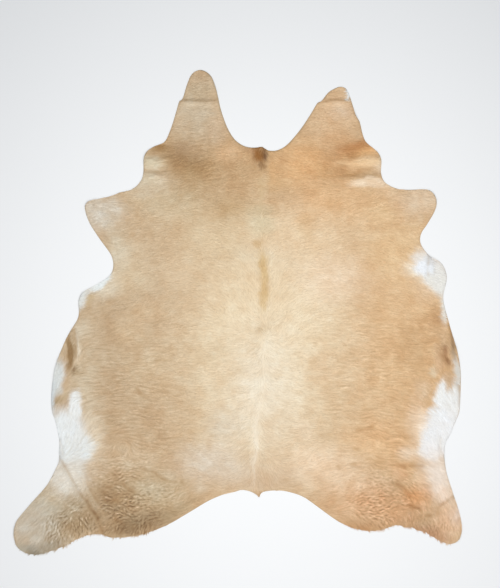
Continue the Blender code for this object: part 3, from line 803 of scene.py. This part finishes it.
def amount_at(rows, x, y):
    """What the rows of a table of Curl add up to at each place."""
    total = np.zeros(np.shape(x))
    for row in rows:
        u = (x - row.x * MM) / (row.reach_x * MM)
        v = (y - row.y * MM) / (row.reach_y * MM)
        total = total + row.amount * np.exp(-(u ** 2 + v ** 2))
    return total


def curl_at(x, y):
    """How curly the coat is, from 0 for straight hair to 1."""
    return np.clip(CURL_EVERYWHERE + amount_at(CURLS, x, y), 0.0, 1.0)


def crinkles_at(ridges, x, y):
    """How far crinkles lift the hair or sink it: broad ridges with narrow valleys, in bunches."""
    shape = np.clip(ridges.at(x, y) / CRINKLE_PEAK, -1, 1)
    bunch = np.clip(BUNCH_MIDDLE + mixed(x, y, BUNCHES), 0, BUNCH_MOST)
    return amount_at(CRINKLES, x, y) * bunch * np.where(shape < 0, VALLEY_DEPTH, RIDGE_HEIGHT) * shape


def spine_at(y):
    """Where the backbone is: straight, then a little to the left over the rump."""
    return SPINE_X - RUMP_SHIFT * smooth_step((RUMP_FROM - y) / RUMP_RUN)


def combed_side(side, x, y):
    """The comb of one side of the backbone, from that side's rows."""
    part_x = 0.0
    part_y = 0.0
    for row in COMB:
        if row.side != side:
            continue
        away = np.hypot(x - row.x * MM, y - row.y * MM) / (row.reach * MM)
        weight = 1.0 / (1.0 + away ** 2) ** 3
        part_x = part_x + weight * math.cos(math.radians(row.heading))
        part_y = part_y + weight * math.sin(math.radians(row.heading))
    length = np.hypot(part_x, part_y)
    return part_x / length, part_y / length


def parted(x, y):
    """The combs of both sides, one on each side of the backbone."""
    left = combed_side(-1, x, y)
    right = combed_side(1, x, y)
    past = x - spine_at(y) - PARTING_WANDER * noise(x, y, PARTING_NOISE)
    share = smooth_step(past / PARTING + 0.5)
    part_x = left[0] * (1 - share) + right[0] * share
    part_y = left[1] * (1 - share) + right[1] * share
    length = np.hypot(part_x, part_y) + TINY
    return part_x / length, part_y / length


def striped(part_x, part_y, x, y):
    """The comb with the stripe along the backbone, which runs both ways from the whorl."""
    above = y > WHORL_Y
    stripe = np.exp(-((x - spine_at(y) - STRIPE_SIDE) / STRIPE_WIDTH) ** 2)
    stripe *= np.where(above, STRIPE_ABOVE, STRIPE_BELOW)
    stripe *= smooth_step((STRIPE_END - y) / STRIPE_FADE)
    return part_x * (1 - stripe), part_y * (1 - stripe) + stripe * np.where(above, 1.0, -1.0)


def swirled(part_x, part_y, x, y):
    """The comb with its swirls, where the hair lies round a point."""
    for row in SWIRLS:
        dx = x - row.x * MM
        dy = y - row.y * MM
        away = np.hypot(dx, dy)
        share = row.strength * np.exp(-(away / (row.reach * MM)) ** 2)
        part_x = part_x * (1 - share) - share * dy / (away + SWIRL_EYE)
        part_y = part_y * (1 - share) + share * dx / (away + SWIRL_EYE)
    return part_x, part_y


def comb_maps():
    """Maps of the two parts of the direction in which the hair lies."""
    along = FloorMap(MAP_STEP)
    across = FloorMap(MAP_STEP)
    x, y = along.x, along.y
    part_x, part_y = parted(x, y)
    part_x, part_y = striped(part_x, part_y, x, y)
    part_x, part_y = swirled(part_x, part_y, x, y)
    turn = curl_at(x, y) * mixed(x, y, CURL_TURNS) + mixed(x, y, STRAY_TURNS)
    along.values = part_x * np.cos(turn) - part_y * np.sin(turn)
    across.values = part_x * np.sin(turn) + part_y * np.cos(turn)
    return along, across


def heading_at(comb, x, y):
    """Unit steps along the hair at each place."""
    dx = comb[0].at(x, y)
    dy = comb[1].at(x, y)
    length = np.hypot(dx, dy) + TINY
    return dx / length, dy / length


def softened(grain, times):
    """Numbers on a grid, each mixed with its neighbours a few times over."""
    for _ in range(times):
        for axis in (0, 1):
            grain = (np.roll(grain, 1, axis) + 2 * grain + np.roll(grain, -1, axis)) / 4
    return grain


def streak_map(comb, length, blur, seed, across=False, even=0):
    """Random numbers smeared along the hair, or across it, with a spread of 1.

    With `even`, what is broader than that many mixings is taken out, which leaves even ridges.
    """
    field = FloorMap(STREAK_STEP)
    grain = softened(np.random.default_rng(seed).normal(size=field.values.shape), blur)
    if even:
        grain = grain - softened(grain, even)
    dx, dy = heading_at(comb, field.x, field.y)
    if across:
        dx, dy = -dy, dx
    total = grain.copy()
    for way in (-1, 1):
        u = (field.x - field.low[0]) / STREAK_STEP
        v = (field.y - field.low[1]) / STREAK_STEP
        i = np.rint(u).astype(int)
        j = np.rint(v).astype(int)
        for _ in range(int(length / STREAK_STEP / 2)):
            u = u + way * dx[i, j]
            v = v + way * dy[i, j]
            i = np.clip(np.rint(u).astype(int), 0, field.columns - 1)
            j = np.clip(np.rint(v).astype(int), 0, field.rows - 1)
            total += grain[i, j]
    total -= total.mean()
    field.values = np.clip(total / total.std(), -STREAK_LIMIT, STREAK_LIMIT)
    return field


def blended(smooth, curled):
    """One streak map from two: the first where the coat is smooth, the second in its curls."""
    share = smooth_step((curl_at(smooth.x, smooth.y) - CURLED_FROM) / CURLED_RUN)
    values = smooth.values * (1 - share) + curled.values * share
    smooth.values = values / np.sqrt((1 - share) ** 2 + share ** 2)
    return smooth


def whiteness(colour):
    """How white each colour is, from 0 for tan to 1: it is the blue that tells them apart."""
    return smooth_step((colour[:, 2] - WHITE_FROM) / WHITE_RUN)


def coat_colour_and_painted_light(comb, streaks, x, y, shift=0.0):
    """The coat's colour at each place, with the light and shade that some patches paint, as linear
    numbers, read `shift` further along the hair.
    """
    dx, dy = heading_at(comb, x, y)
    fray = FRAY * streaks.at(x, y) + shift
    px = x + fray * dx + mixed(x, y, PATCH_WANDER_X)
    py = y + fray * dy + mixed(x, y, PATCH_WANDER_Y)
    colour = np.tile(linear(TAN), (len(x), 1))
    for row in PATCHES:
        turn = math.radians(row.turn)
        ox = px - row.x * MM
        oy = py - row.y * MM
        u = (ox * math.cos(turn) + oy * math.sin(turn)) / (row.reach_x * MM)
        v = (oy * math.cos(turn) - ox * math.sin(turn)) / (row.reach_y * MM)
        share = row.amount * smooth_step((1.0 - np.hypot(u, v)) / row.edge)
        colour += share[:, None] * (linear(row.colour) - colour)
    mottle = mixed(x, y, MOTTLE)
    mottle *= np.minimum(STRAIGHT_MOTTLE + CURL_MOTTLE * curl_at(x, y), MOTTLE_MOST)
    mottle *= 1 - WHITE_CALMS_MOTTLE * whiteness(colour)
    return colour * np.exp(mottle[:, None] * BROAD_SHADE)


def crease_maps():
    """Maps of how deep the creases are and how much darker the hair is painted there, as painted shade,
    or lighter, as painted light, below zero.
    """
    depth = FloorMap(STREAK_STEP)
    shade = FloorMap(STREAK_STEP)
    x = depth.x + mixed(depth.x, depth.y, CREASE_WANDER_X)
    y = depth.y + mixed(depth.x, depth.y, CREASE_WANDER_Y)
    fading = 1 + mixed(depth.x, depth.y, CREASE_FADING)
    for row in CREASES:
        ox = x - row.x0 * MM
        oy = y - row.y0 * MM
        run_x = (row.x1 - row.x0) * MM
        run_y = (row.y1 - row.y0) * MM
        near = np.clip((ox * run_x + oy * run_y) / (run_x ** 2 + run_y ** 2), 0, 1)
        away = np.hypot(ox - near * run_x, oy - near * run_y)
        line = np.exp(-(away / (row.width * MM)) ** 2) * fading
        depth.values += row.depth * MM * line
        shade.values += row.shade * line
    return depth, shade


def new_piece(name, points, faces, material_list, face_material=None):
    """A mesh object at the origin from arrays: faces is a list of arrays of equal-sided faces."""
    mesh = bpy.data.meshes.new(name)
    mesh.vertices.add(len(points))
    mesh.vertices.foreach_set("co", points.astype(np.float32).ravel())
    counts = np.concatenate([np.full(len(f), f.shape[1]) for f in faces])
    corners = np.concatenate([f.ravel() for f in faces])
    mesh.loops.add(len(corners))
    mesh.loops.foreach_set("vertex_index", corners.astype(np.int32))
    mesh.polygons.add(len(counts))
    starts = np.concatenate([[0], np.cumsum(counts)[:-1]])
    mesh.polygons.foreach_set("loop_start", starts.astype(np.int32))
    mesh.polygons.foreach_set("use_smooth", np.ones(len(counts), bool))
    for material in material_list:
        mesh.materials.append(material)
    if face_material is not None:
        mesh.polygons.foreach_set("material_index", face_material.astype(np.int32))
    mesh.update(calc_edges=True)
    mesh.validate()
    piece = bpy.data.objects.new(name, mesh)
    bpy.context.scene.collection.objects.link(piece)
    return piece


def paint(piece, colour):
    """Store the hair colour of each point of a piece, with its painted light and shade."""
    layer = piece.data.color_attributes.new("hair_colour", "FLOAT_COLOR", "POINT")
    rgba = np.concatenate([np.clip(colour, 0, 1), np.ones((len(colour), 1))], 1)
    layer.data.foreach_set("color", rgba.astype(np.float32).ravel())


def add_map(piece, name, places):
    """Give a piece a UV map from one pair of numbers for each point."""
    corners = np.empty(len(piece.data.loops), np.int32)
    piece.data.loops.foreach_get("vertex_index", corners)
    layer = piece.data.uv_layers.new(name=name, do_init=False)
    layer.uv.foreach_set("vector", places[corners].astype(np.float32).ravel())


def new_material(name):
    """A node material without nodes."""
    material = bpy.data.materials.new(name)
    material.use_nodes = True
    material.node_tree.nodes.clear()
    return material


def add(material, kind, settings=(), links=()):
    """Add one shader node with its settings and the links into it."""
    tree = material.node_tree
    node = tree.nodes.new(kind)
    for name, value in dict(settings).items():
        if hasattr(node, name) and name not in node.inputs:
            setattr(node, name, value)
        else:
            node.inputs[name].default_value = value
    for name, source in dict(links).items():
        tree.links.new(source, node.inputs[name])
    return node


def toned(material, colour, grain, darkest, lightest):
    """A colour that a grain pattern makes darker and lighter."""
    tone = add(
        material, "ShaderNodeMapRange",
        {"From Min": GRAIN_LOW, "From Max": GRAIN_HIGH, "To Min": darkest, "To Max": lightest},
        {"Value": grain},
    )
    tinted = add(
        material, "ShaderNodeVectorMath", {"operation": "SCALE"},
        {0: colour, "Scale": tone.outputs[0]},
    )
    return tinted.outputs[0]


def hair_material():
    """Cattle hair: keratin, combed flat, with a soft satin gloss along the strands."""
    material = new_material("cattle_hair")
    colour = add(material, "ShaderNodeAttribute", {"attribute_name": "hair_colour"})
    lock = add(material, "ShaderNodeUVMap", {"uv_map": "lock"})
    stretch = add(
        material, "ShaderNodeMapping", {"Scale": (STRANDS_ACROSS, STRANDS_ALONG, 1.0)},
        {"Vector": lock.outputs[0]},
    )
    strand = add(
        material, "ShaderNodeTexNoise",
        {"Scale": 1.0, "Detail": 2.0, "Roughness": 0.6}, {"Vector": stretch.outputs[0]},
    )
    gloss = add(
        material, "ShaderNodeMapRange",
        {"From Min": GRAIN_LOW, "From Max": GRAIN_HIGH, "To Min": 0.62, "To Max": 0.48},
        {"Value": strand.outputs["Fac"]},
    )
    bump = add(
        material, "ShaderNodeBump",
        {"Strength": 0.35, "Distance": 0.6 * MM}, {"Height": strand.outputs["Fac"]},
    )
    keratin = add(
        material, "ShaderNodeBsdfPrincipled",
        {"IOR": 1.55, "Specular IOR Level": 0.35, "Sheen Weight": 0.08, "Sheen Roughness": 0.5},
        {
            "Base Color": toned(material, colour.outputs["Color"], strand.outputs["Fac"], 0.91, 1.09),
            "Roughness": gloss.outputs[0],
            "Normal": bump.outputs[0],
        },
    )
    add(material, "ShaderNodeOutputMaterial", links={"Surface": keratin.outputs[0]})
    return material


def underhair_material():
    """The skin's hair side: short underhair over the grain, painted darker than the coat that lies on it,
    as painted shade from that coat.
    """
    material = new_material("underhair_on_grain")
    colour = add(material, "ShaderNodeAttribute", {"attribute_name": "hair_colour"})
    place = add(material, "ShaderNodeTexCoord")
    pores = add(
        material, "ShaderNodeTexNoise",
        {"Scale": UNDERHAIR_GRAIN, "Detail": 3.0, "Roughness": 0.65},
        {"Vector": place.outputs["Object"]},
    )
    bump = add(
        material, "ShaderNodeBump",
        {"Strength": 0.5, "Distance": 0.8 * MM}, {"Height": pores.outputs["Fac"]},
    )
    underhair = add(
        material, "ShaderNodeBsdfPrincipled",
        {"Roughness": 0.75, "Specular IOR Level": 0.25},
        {
            # 0.80 to 0.94 of the coat's colour: painted shade under the coat, varied by the grain.
            "Base Color": toned(material, colour.outputs["Color"], pores.outputs["Fac"], 0.80, 0.94),
            "Normal": bump.outputs[0],
        },
    )
    add(material, "ShaderNodeOutputMaterial", links={"Surface": underhair.outputs[0]})
    return material


def flesh_material():
    """Chrome-tanned split flesh side: matt, off-white suede with a short nap and soft cloudy marks."""
    material = new_material("suede_flesh_side")
    place = add(material, "ShaderNodeTexCoord")
    clouds = add(
        material, "ShaderNodeTexNoise",
        {"Scale": SUEDE_CLOUDS, "Detail": 4.0, "Roughness": 0.55},
        {"Vector": place.outputs["Object"]},
    )
    nap = add(
        material, "ShaderNodeTexNoise",
        {"Scale": SUEDE_NAP, "Detail": 3.0, "Roughness": 0.7},
        {"Vector": place.outputs["Object"]},
    )
    ramp = add(material, "ShaderNodeValToRGB", (), {"Fac": clouds.outputs["Fac"]})
    for stop, position, code in zip(ramp.color_ramp.elements, (0.32, 0.70), ("#c9bda8", "#ddd4c4")):
        stop.position = position
        stop.color = (*linear(code), 1.0)
    bump = add(
        material, "ShaderNodeBump",
        {"Strength": 0.5, "Distance": 0.5 * MM}, {"Height": nap.outputs["Fac"]},
    )
    suede = add(
        material, "ShaderNodeBsdfPrincipled",
        {"Roughness": 0.92, "Specular IOR Level": 0.2, "Sheen Weight": 0.15, "Sheen Roughness": 0.6},
        {
            "Base Color": toned(material, ramp.outputs["Color"], nap.outputs["Fac"], 0.90, 1.06),
            "Normal": bump.outputs[0],
        },
    )
    add(material, "ShaderNodeOutputMaterial", links={"Surface": suede.outputs[0]})
    return material


def floor_material():
    """Matt emulsion paint on a smooth floor: pale and even."""
    material = new_material("painted_floor")
    emulsion = add(
        material, "ShaderNodeBsdfPrincipled",
        {"Base Color": FLOOR_COLOUR, "Roughness": 0.7, "Specular IOR Level": 0.2},
    )
    add(material, "ShaderNodeOutputMaterial", links={"Surface": emulsion.outputs[0]})
    return material


def skin_height(ceiling, ground):
    """The height of the skin's hair side, between the solid's upper face and its underside."""
    return ground + np.maximum(SKIN_SHARE * (ceiling - ground), SKIN_LEAST)


def skin_field(edge, inset):
    """Evenly spread places on the skin, in staggered rows that keep clear of the cut edge."""
    low = edge.min(0)
    high = edge.max(0)
    rows = []
    for k, y in enumerate(np.arange(low[1], high[1], SKIN_STEP * math.sqrt(3) / 2)):
        x = np.arange(low[0] + (k % 2) * SKIN_STEP / 2, high[0], SKIN_STEP)
        x = x[inset.at(x, np.full(len(x), y)) > EDGE_KEEP * SKIN_STEP]
        rows.append(np.stack([x, np.full(len(x), y)], 1))
    return np.vstack(rows)


def cut_skin(edge, maps):
    """The tanned skin: one closed sheet inside the cut edge, on the folds of the solid."""
    flat = np.vstack([edge, skin_field(edge, maps.inset)])
    rim = np.arange(len(edge))
    ahead = (rim + 1) % len(edge)
    border = list(zip(rim.tolist(), ahead.tolist()))
    cut = delaunay_2d_cdt([Vector(place) for place in flat], border, [], 1, 1e-6)
    flat = np.array([place[:] for place in cut[0]])
    triangles = np.array(cut[2])
    x, y = flat.T
    ground = maps.under.at(x, y)
    points = np.vstack([
        np.stack([x, y, skin_height(maps.top.at(x, y), ground)], 1),
        np.stack([x, y, ground], 1),
    ])
    total = len(flat)
    wall = np.stack([rim, rim + total, ahead + total, ahead], 1)
    faces = [triangles, triangles[:, ::-1] + total, wall]
    finish = np.repeat((0, 1, 1), [len(part) for part in faces])
    piece = new_piece("skin", points, faces, [underhair_material(), flesh_material()], finish)
    colour = coat_colour_and_painted_light(maps.comb, maps.streaks, x, y)
    # The skin also gets the creases' painted shade.
    colour = colour * np.exp(-maps.shades.at(x, y)[:, None] * CREASE_SHADE)
    paint(piece, np.vstack([colour, colour]))
    return piece


def overhang_at(x, y):
    """How far the hair may run past the cut edge."""
    total = np.full(np.shape(x), LOCK_OVERHANG)
    tuft = np.maximum(TUFT_MIDDLE + mixed(x, y, TUFTS), 0)
    for row in FEATHERS:
        away = np.hypot(x - row.x * MM, y - row.y * MM) / (row.reach * MM)
        total = total + row.overhang * MM * np.exp(-away ** 2) * tuft
    return total


def walk(comb, x, y, length, stations, stray, bend):
    """Where each lock runs: its places from root to tip, and its heading at each."""
    xs, ys, dxs, dys = [x], [y], [], []
    step = length / (stations - 1)
    for k in range(stations):
        dx, dy = heading_at(comb, xs[-1], ys[-1])
        turn = stray + bend * (k / (stations - 1) - BEND_PIVOT)
        dx, dy = dx * np.cos(turn) - dy * np.sin(turn), dx * np.sin(turn) + dy * np.cos(turn)
        dxs.append(dx)
        dys.append(dy)
        if k < stations - 1:
            xs.append(xs[-1] + step * dx)
            ys.append(ys[-1] + step * dy)
    return (np.stack(part, 1) for part in (xs, ys, dxs, dys))


def comb_locks(roots, stations, maps, rng):
    """Locks from these roots, laid along the comb and cut short at the edge and at creases."""
    x, y = roots.T
    count = len(x)
    curl = curl_at(x, y)
    length = LOCK_LENGTH * rng.uniform(*LENGTH_RANGE, count) * (1 - CURL_SHORTENS * curl)
    stray = LOCK_STRAY * rng.normal(0, 1, count)
    bend = rng.normal(0, LOCK_BEND, count) + curl * rng.normal(0, CURL_BEND, count)
    limit = -overhang_at(x, y) * rng.uniform(*OVERHANG_RANGE, count)
    shades = maps.shades
    for _ in range(TRIM_ROUNDS):
        xs, ys, dxs, dys = walk(maps.comb, x, y, length, stations, stray, bend)
        over = maps.inset.at(xs, ys).min(1) < limit
        # A lock doesn't lie across a crease.
        halfway = shades.at((xs[:, 1:] + xs[:, :-1]) / 2, (ys[:, 1:] + ys[:, :-1]) / 2)
        change = np.concatenate([halfway, shades.at(xs, ys)], 1) - shades.at(x, y)[:, None]
        crosses = np.abs(change).max(1) > CREASE_STEP
        length = np.where(over | (crosses & (length > TRIM_LEAST)), length * TRIM_TO, length)
    keep = ~over
    return Locks(*(part[keep] for part in (x, y, curl, length, xs, ys, dxs, dys)))


def lift_locks(locks, layer, wave, clump, maps):
    """The height of each lock along its middle: it leaves the skin, rises to its layer and stays."""
    xs, ys = locks.xs, locks.ys
    ceiling = maps.top.at(xs, ys)
    skin = skin_height(ceiling, maps.under.at(xs, ys))
    share = np.linspace(0, 1, xs.shape[1])[None, :]
    rise = smooth_step(share / RISE_SHARE) * (1 - TIP_DROP * share ** 2)
    swell = (CLUMP_SWELL + CURL_SWELL * locks.curl[:, None]) * clump + CURL_SWELL * wave
    height = layer[:, None] * (1 + np.clip(swell, -SWELL_MOST, SWELL_MOST))
    zs = skin - ROOT_SINK + (ceiling - skin + ROOT_SINK) * rise * height
    least = skin - ROOT_SINK + (ROOT_SINK + LEAST_LOFT) * rise
    return np.maximum(zs - maps.dents.at(xs, ys) * rise, least)


def strips(locks, zs, widths, top, rng):
    """Each lock's points, in pairs across its strip and one at its tip, and its half widths."""
    xs, ys = locks.xs, locks.ys
    count = len(xs)
    roll = rng.normal(0, LOCK_ROLL, count)[:, None, None]
    # Across the strip: square to the hair on the slope of the folds, and rolled a little.
    reach = SLOPE_REACH
    slope_x = (top.at(xs + reach, ys) - top.at(xs - reach, ys)) / (2 * reach)
    slope_y = (top.at(xs, ys + reach) - top.at(xs, ys - reach)) / (2 * reach)
    side = np.stack([-locks.dys, locks.dxs, -locks.dys * slope_x + locks.dxs * slope_y], 2)
    side /= np.linalg.norm(side, axis=2, keepdims=True)
    up = np.stack([-slope_x, -slope_y, np.ones_like(slope_x)], 2)
    up /= np.linalg.norm(up, axis=2, keepdims=True)
    across = (side * np.cos(roll) + up * np.sin(roll))[:, :-1]
    width = LOCK_WIDTH * rng.uniform(*WIDTH_RANGE, count)
    width *= np.clip(locks.length / LOCK_LENGTH, WIDTH_LEAST, 1) * (1 - CURL_NARROWS * locks.curl)
    half = 0.5 * width[:, None] * np.array(widths)[None, :]
    middle = np.stack([xs, ys, zs], 2)
    left = middle[:, :-1] + across * half[..., None]
    right = middle[:, :-1] - across * half[..., None]
    pairs = np.stack([left, right], 2).reshape(count, -1, 3)
    points = np.concatenate([pairs, middle[:, -1:]], 1)
    points[..., 2] = np.maximum(points[..., 2], LEAST_HEIGHT)
    return points, half


def strip_faces(count, per_lock):
    """The four-sided faces of each strip, and the triangle at each tip."""
    first = per_lock * np.arange(count)[:, None]
    quads = [first + np.array([k, k + 1, k + 3, k + 2]) for k in range(0, per_lock - 3, 2)]
    tips = first + np.array([per_lock - 3, per_lock - 2, per_lock - 1])
    return [np.concatenate(quads), tips]


def per_point(values):
    """A value for each station as one for each point: two at a station and one at the tip."""
    return np.repeat(values, 2, 1)[:, :-1]


def lock_colours(locks, layer, wave, clump, maps, rng):
    """The coat's colour near each lock's root and near its tip, lighter and darker by streak, with
    painted shade in creases, on low locks and in crinkle valleys, and painted light on crinkle ridges.
    """
    count, stations = locks.xs.shape
    spot = rng.normal(0, COLOUR_STRAY, count)
    reach = COLOUR_REACH * locks.length
    root = coat_colour_and_painted_light(maps.comb, maps.streaks, locks.x, locks.y, spot - reach)
    tip = coat_colour_and_painted_light(maps.comb, maps.streaks, locks.x, locks.y, spot + reach)
    mid = stations // 2
    streak = maps.streaks.at(locks.xs[:, mid], locks.ys[:, mid])
    tone = STREAK_TONE * streak + CLUMP_TONE * clump[:, mid]
    tone *= STRAIGHT_TONES + CURL_TONES * locks.curl
    # Lower locks get painted shade; the rest is chance.
    tone += rng.normal(0, LOCK_TONE, count) - LAYER_PAINTED_SHADE * (1 - layer)
    tone *= 1 - WHITE_CALMS_TONES * whiteness(root)
    # Painted shade in the crinkles' and waves' valleys and painted light on their ridges, on top of
    # darker roots and lighter tips.
    ladder = np.linspace(ROOT_TONE, TIP_TONE, stations)[None, :] + CRINKLE_PAINTED_LIGHT * wave
    shade = per_point(tone[:, None] + ladder)[..., None]
    # Painted shade in the creases and dents.
    crease_painted_shade = per_point(maps.shades.at(locks.xs, locks.ys))[..., None]
    blend = per_point(np.linspace(0, 1, stations)[None, :])[..., None]
    colours = root[:, None, :] * (1 - blend) + tip[:, None, :] * blend
    colours *= np.exp(shade * FINE_SHADE - crease_painted_shade * CREASE_SHADE)
    return colours


def lock_places(locks, half, rng):
    """The lock map: metres across and along each lock, each lock at its own place."""
    count, stations = locks.xs.shape
    offset = rng.uniform(0, LOCK_MAP_SIZE, (count, 1, 2))
    pairs = np.stack([half, -half], 2).reshape(count, -1)
    u = np.concatenate([pairs, np.zeros((count, 1))], 1)
    v = per_point(np.linspace(0, 1, stations)[None, :]) * locks.length[:, None]
    return np.stack([u, v], 2) + offset


def lay_locks(roots, widths, maps, rng):
    """One set of locks as strips: their points, faces, colours and places on the lock map."""
    locks = comb_locks(roots, len(widths) + 1, maps, rng)
    xs, ys = locks.xs, locks.ys
    layer = rng.uniform(*LAYERS, len(xs))
    wave = amount_at(WAVES, xs, ys) * maps.waves.at(xs, ys) + crinkles_at(maps.ridges, xs, ys)
    clump = maps.clumps.at(xs, ys)
    zs = lift_locks(locks, layer, wave, clump, maps)
    points, half = strips(locks, zs, widths, maps.top, rng)
    faces = strip_faces(*points.shape[:2])
    colours = lock_colours(locks, layer, wave, clump, maps, rng)
    places = lock_places(locks, half, rng)
    return points.reshape(-1, 3), faces, colours.reshape(-1, 3), places.reshape(-1, 2)


def lay_part(name, roots, maps, material, rng):
    """The hair of one part of the coat, as one piece: its plain locks, then its curled ones."""
    curly = curl_at(*roots.T) > CURL_SHARE
    points, quads, tips, colours, places = [], [], [], [], []
    total = 0
    for part, widths in ((roots[~curly], PLAIN_WIDTHS), (roots[curly], CURLED_WIDTHS)):
        if len(part) == 0:
            continue
        part_points, faces, part_colours, part_places = lay_locks(part, widths, maps, rng)
        points.append(part_points)
        quads.append(faces[0] + total)
        tips.append(faces[1] + total)
        colours.append(part_colours)
        places.append(part_places)
        total += len(part_points)
    points = np.concatenate(points)
    piece = new_piece(name, points, [np.concatenate(quads), np.concatenate(tips)], [material])
    paint(piece, np.concatenate(colours))
    add_map(piece, "lock", np.concatenate(places))
    span = points.max(0) - points.min(0)
    seen = (points[:, :2] - points[:, :2].min(0)) / span[:2].max()
    add_map(piece, "OFBake", BAKE_MARGIN + (1 - 2 * BAKE_MARGIN) * seen)
    return piece


def lay_coat(edge, maps, material):
    """All the hair: one piece for each side of the neck, the side and the haunch."""
    rng = np.random.default_rng(COAT_SEED)
    low = edge.min(0)
    high = edge.max(0)
    x, y = np.meshgrid(
        np.arange(low[0], high[0], LOCK_STEP), np.arange(low[1], high[1], LOCK_STEP), indexing="ij"
    )
    x = x.ravel() + rng.uniform(-0.5, 0.5, x.size) * LOCK_STEP
    y = y.ravel() + rng.uniform(-0.5, 0.5, y.size) * LOCK_STEP
    on_hide = maps.inset.at(x, y) > ROOT_INSET
    roots = np.stack([x[on_hide], y[on_hide]], 1)
    left = roots[:, 0] < SPINE_X
    neck = roots[:, 1] > NECK_FROM
    haunch = roots[:, 1] <= HAUNCH_FROM
    pieces = []
    for band, within in (("neck", neck), ("side", ~neck & ~haunch), ("haunch", haunch)):
        for side, half in (("left", left), ("right", ~left)):
            chosen = roots[within & half]
            pieces.append(lay_part(f"coat_{side}_{band}", chosen, maps, material, rng))
    return pieces


def floor():
    """A plain pale floor for the hide to lie on."""
    bpy.ops.mesh.primitive_plane_add(size=FLOOR_WIDTH, location=(0, 0, 0))
    piece = bpy.context.active_object
    piece.name = "floor"
    piece.data.materials.append(floor_material())
    return piece


def soft_light(row):
    """A square studio softbox that looks at a point."""
    data = bpy.data.lights.new(row.name, "AREA")
    data.shape = "SQUARE"
    data.size = row.size
    data.energy = row.power
    data.color = row.colour
    lamp = bpy.data.objects.new(row.name, data)
    lamp.location = row.place
    lamp.rotation_euler = (Vector(row.aim) - Vector(row.place)).to_track_quat("-Z", "Y").to_euler()
    bpy.context.scene.collection.objects.link(lamp)


def studio():
    """Camera straight above, soft lights and a pale surround."""
    scene = bpy.context.scene
    data = bpy.data.cameras.new("camera")
    data.sensor_width = SENSOR
    data.lens = SENSOR * CAMERA_RISE / VIEW_HEIGHT
    data.clip_end = CAMERA_REACH
    camera = bpy.data.objects.new("camera", data)
    camera.location = (*VIEW_CENTRE, CAMERA_RISE)
    scene.collection.objects.link(camera)
    scene.camera = camera
    world = bpy.data.worlds.new("surround")
    world.use_nodes = True
    background = world.node_tree.nodes["Background"]
    background.inputs["Color"].default_value = SURROUND
    background.inputs["Strength"].default_value = SURROUND_STRENGTH
    scene.world = world
    scene.view_settings.view_transform = "Standard"
    for row in LIGHTS:
        soft_light(row)
    floor()


def read_maps(solid, edge):
    """Everything that the skin and the locks read over the floor."""
    top, under = read_heights(solid)
    comb = comb_maps()
    streaks = blended(
        streak_map(comb, length=33 * MM, blur=1, seed=51),
        streak_map(comb, length=13 * MM, blur=1, seed=55),
    )
    clumps = blended(
        streak_map(comb, length=45 * MM, blur=3, seed=52),
        streak_map(comb, length=18 * MM, blur=3, seed=56),
    )
    waves = streak_map(comb, length=45 * MM, blur=2, seed=53, across=True)
    ridges = blended(
        streak_map(comb, length=42 * MM, blur=2, seed=54, even=8),
        streak_map(comb, length=15 * MM, blur=2, seed=57, even=4),
    )
    dents, shades = crease_maps()
    inset = edge_distance(edge)
    return Maps(comb, inset, top, under, streaks, clumps, waves, ridges, dents, shades)


def main():
    """Set the stage, lay the skin on the solid's folds and lay the hair on the skin."""
    studio()
    solid = merged_solid()
    edge = cut_edge(solid)
    maps = read_maps(solid, edge)
    solid.free()
    skin = cut_skin(edge, maps)
    coat = lay_coat(edge, maps, hair_material())
    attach(skin, BODY)
    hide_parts(NODE)
    for piece in coat:
        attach(piece, BODY)


main()
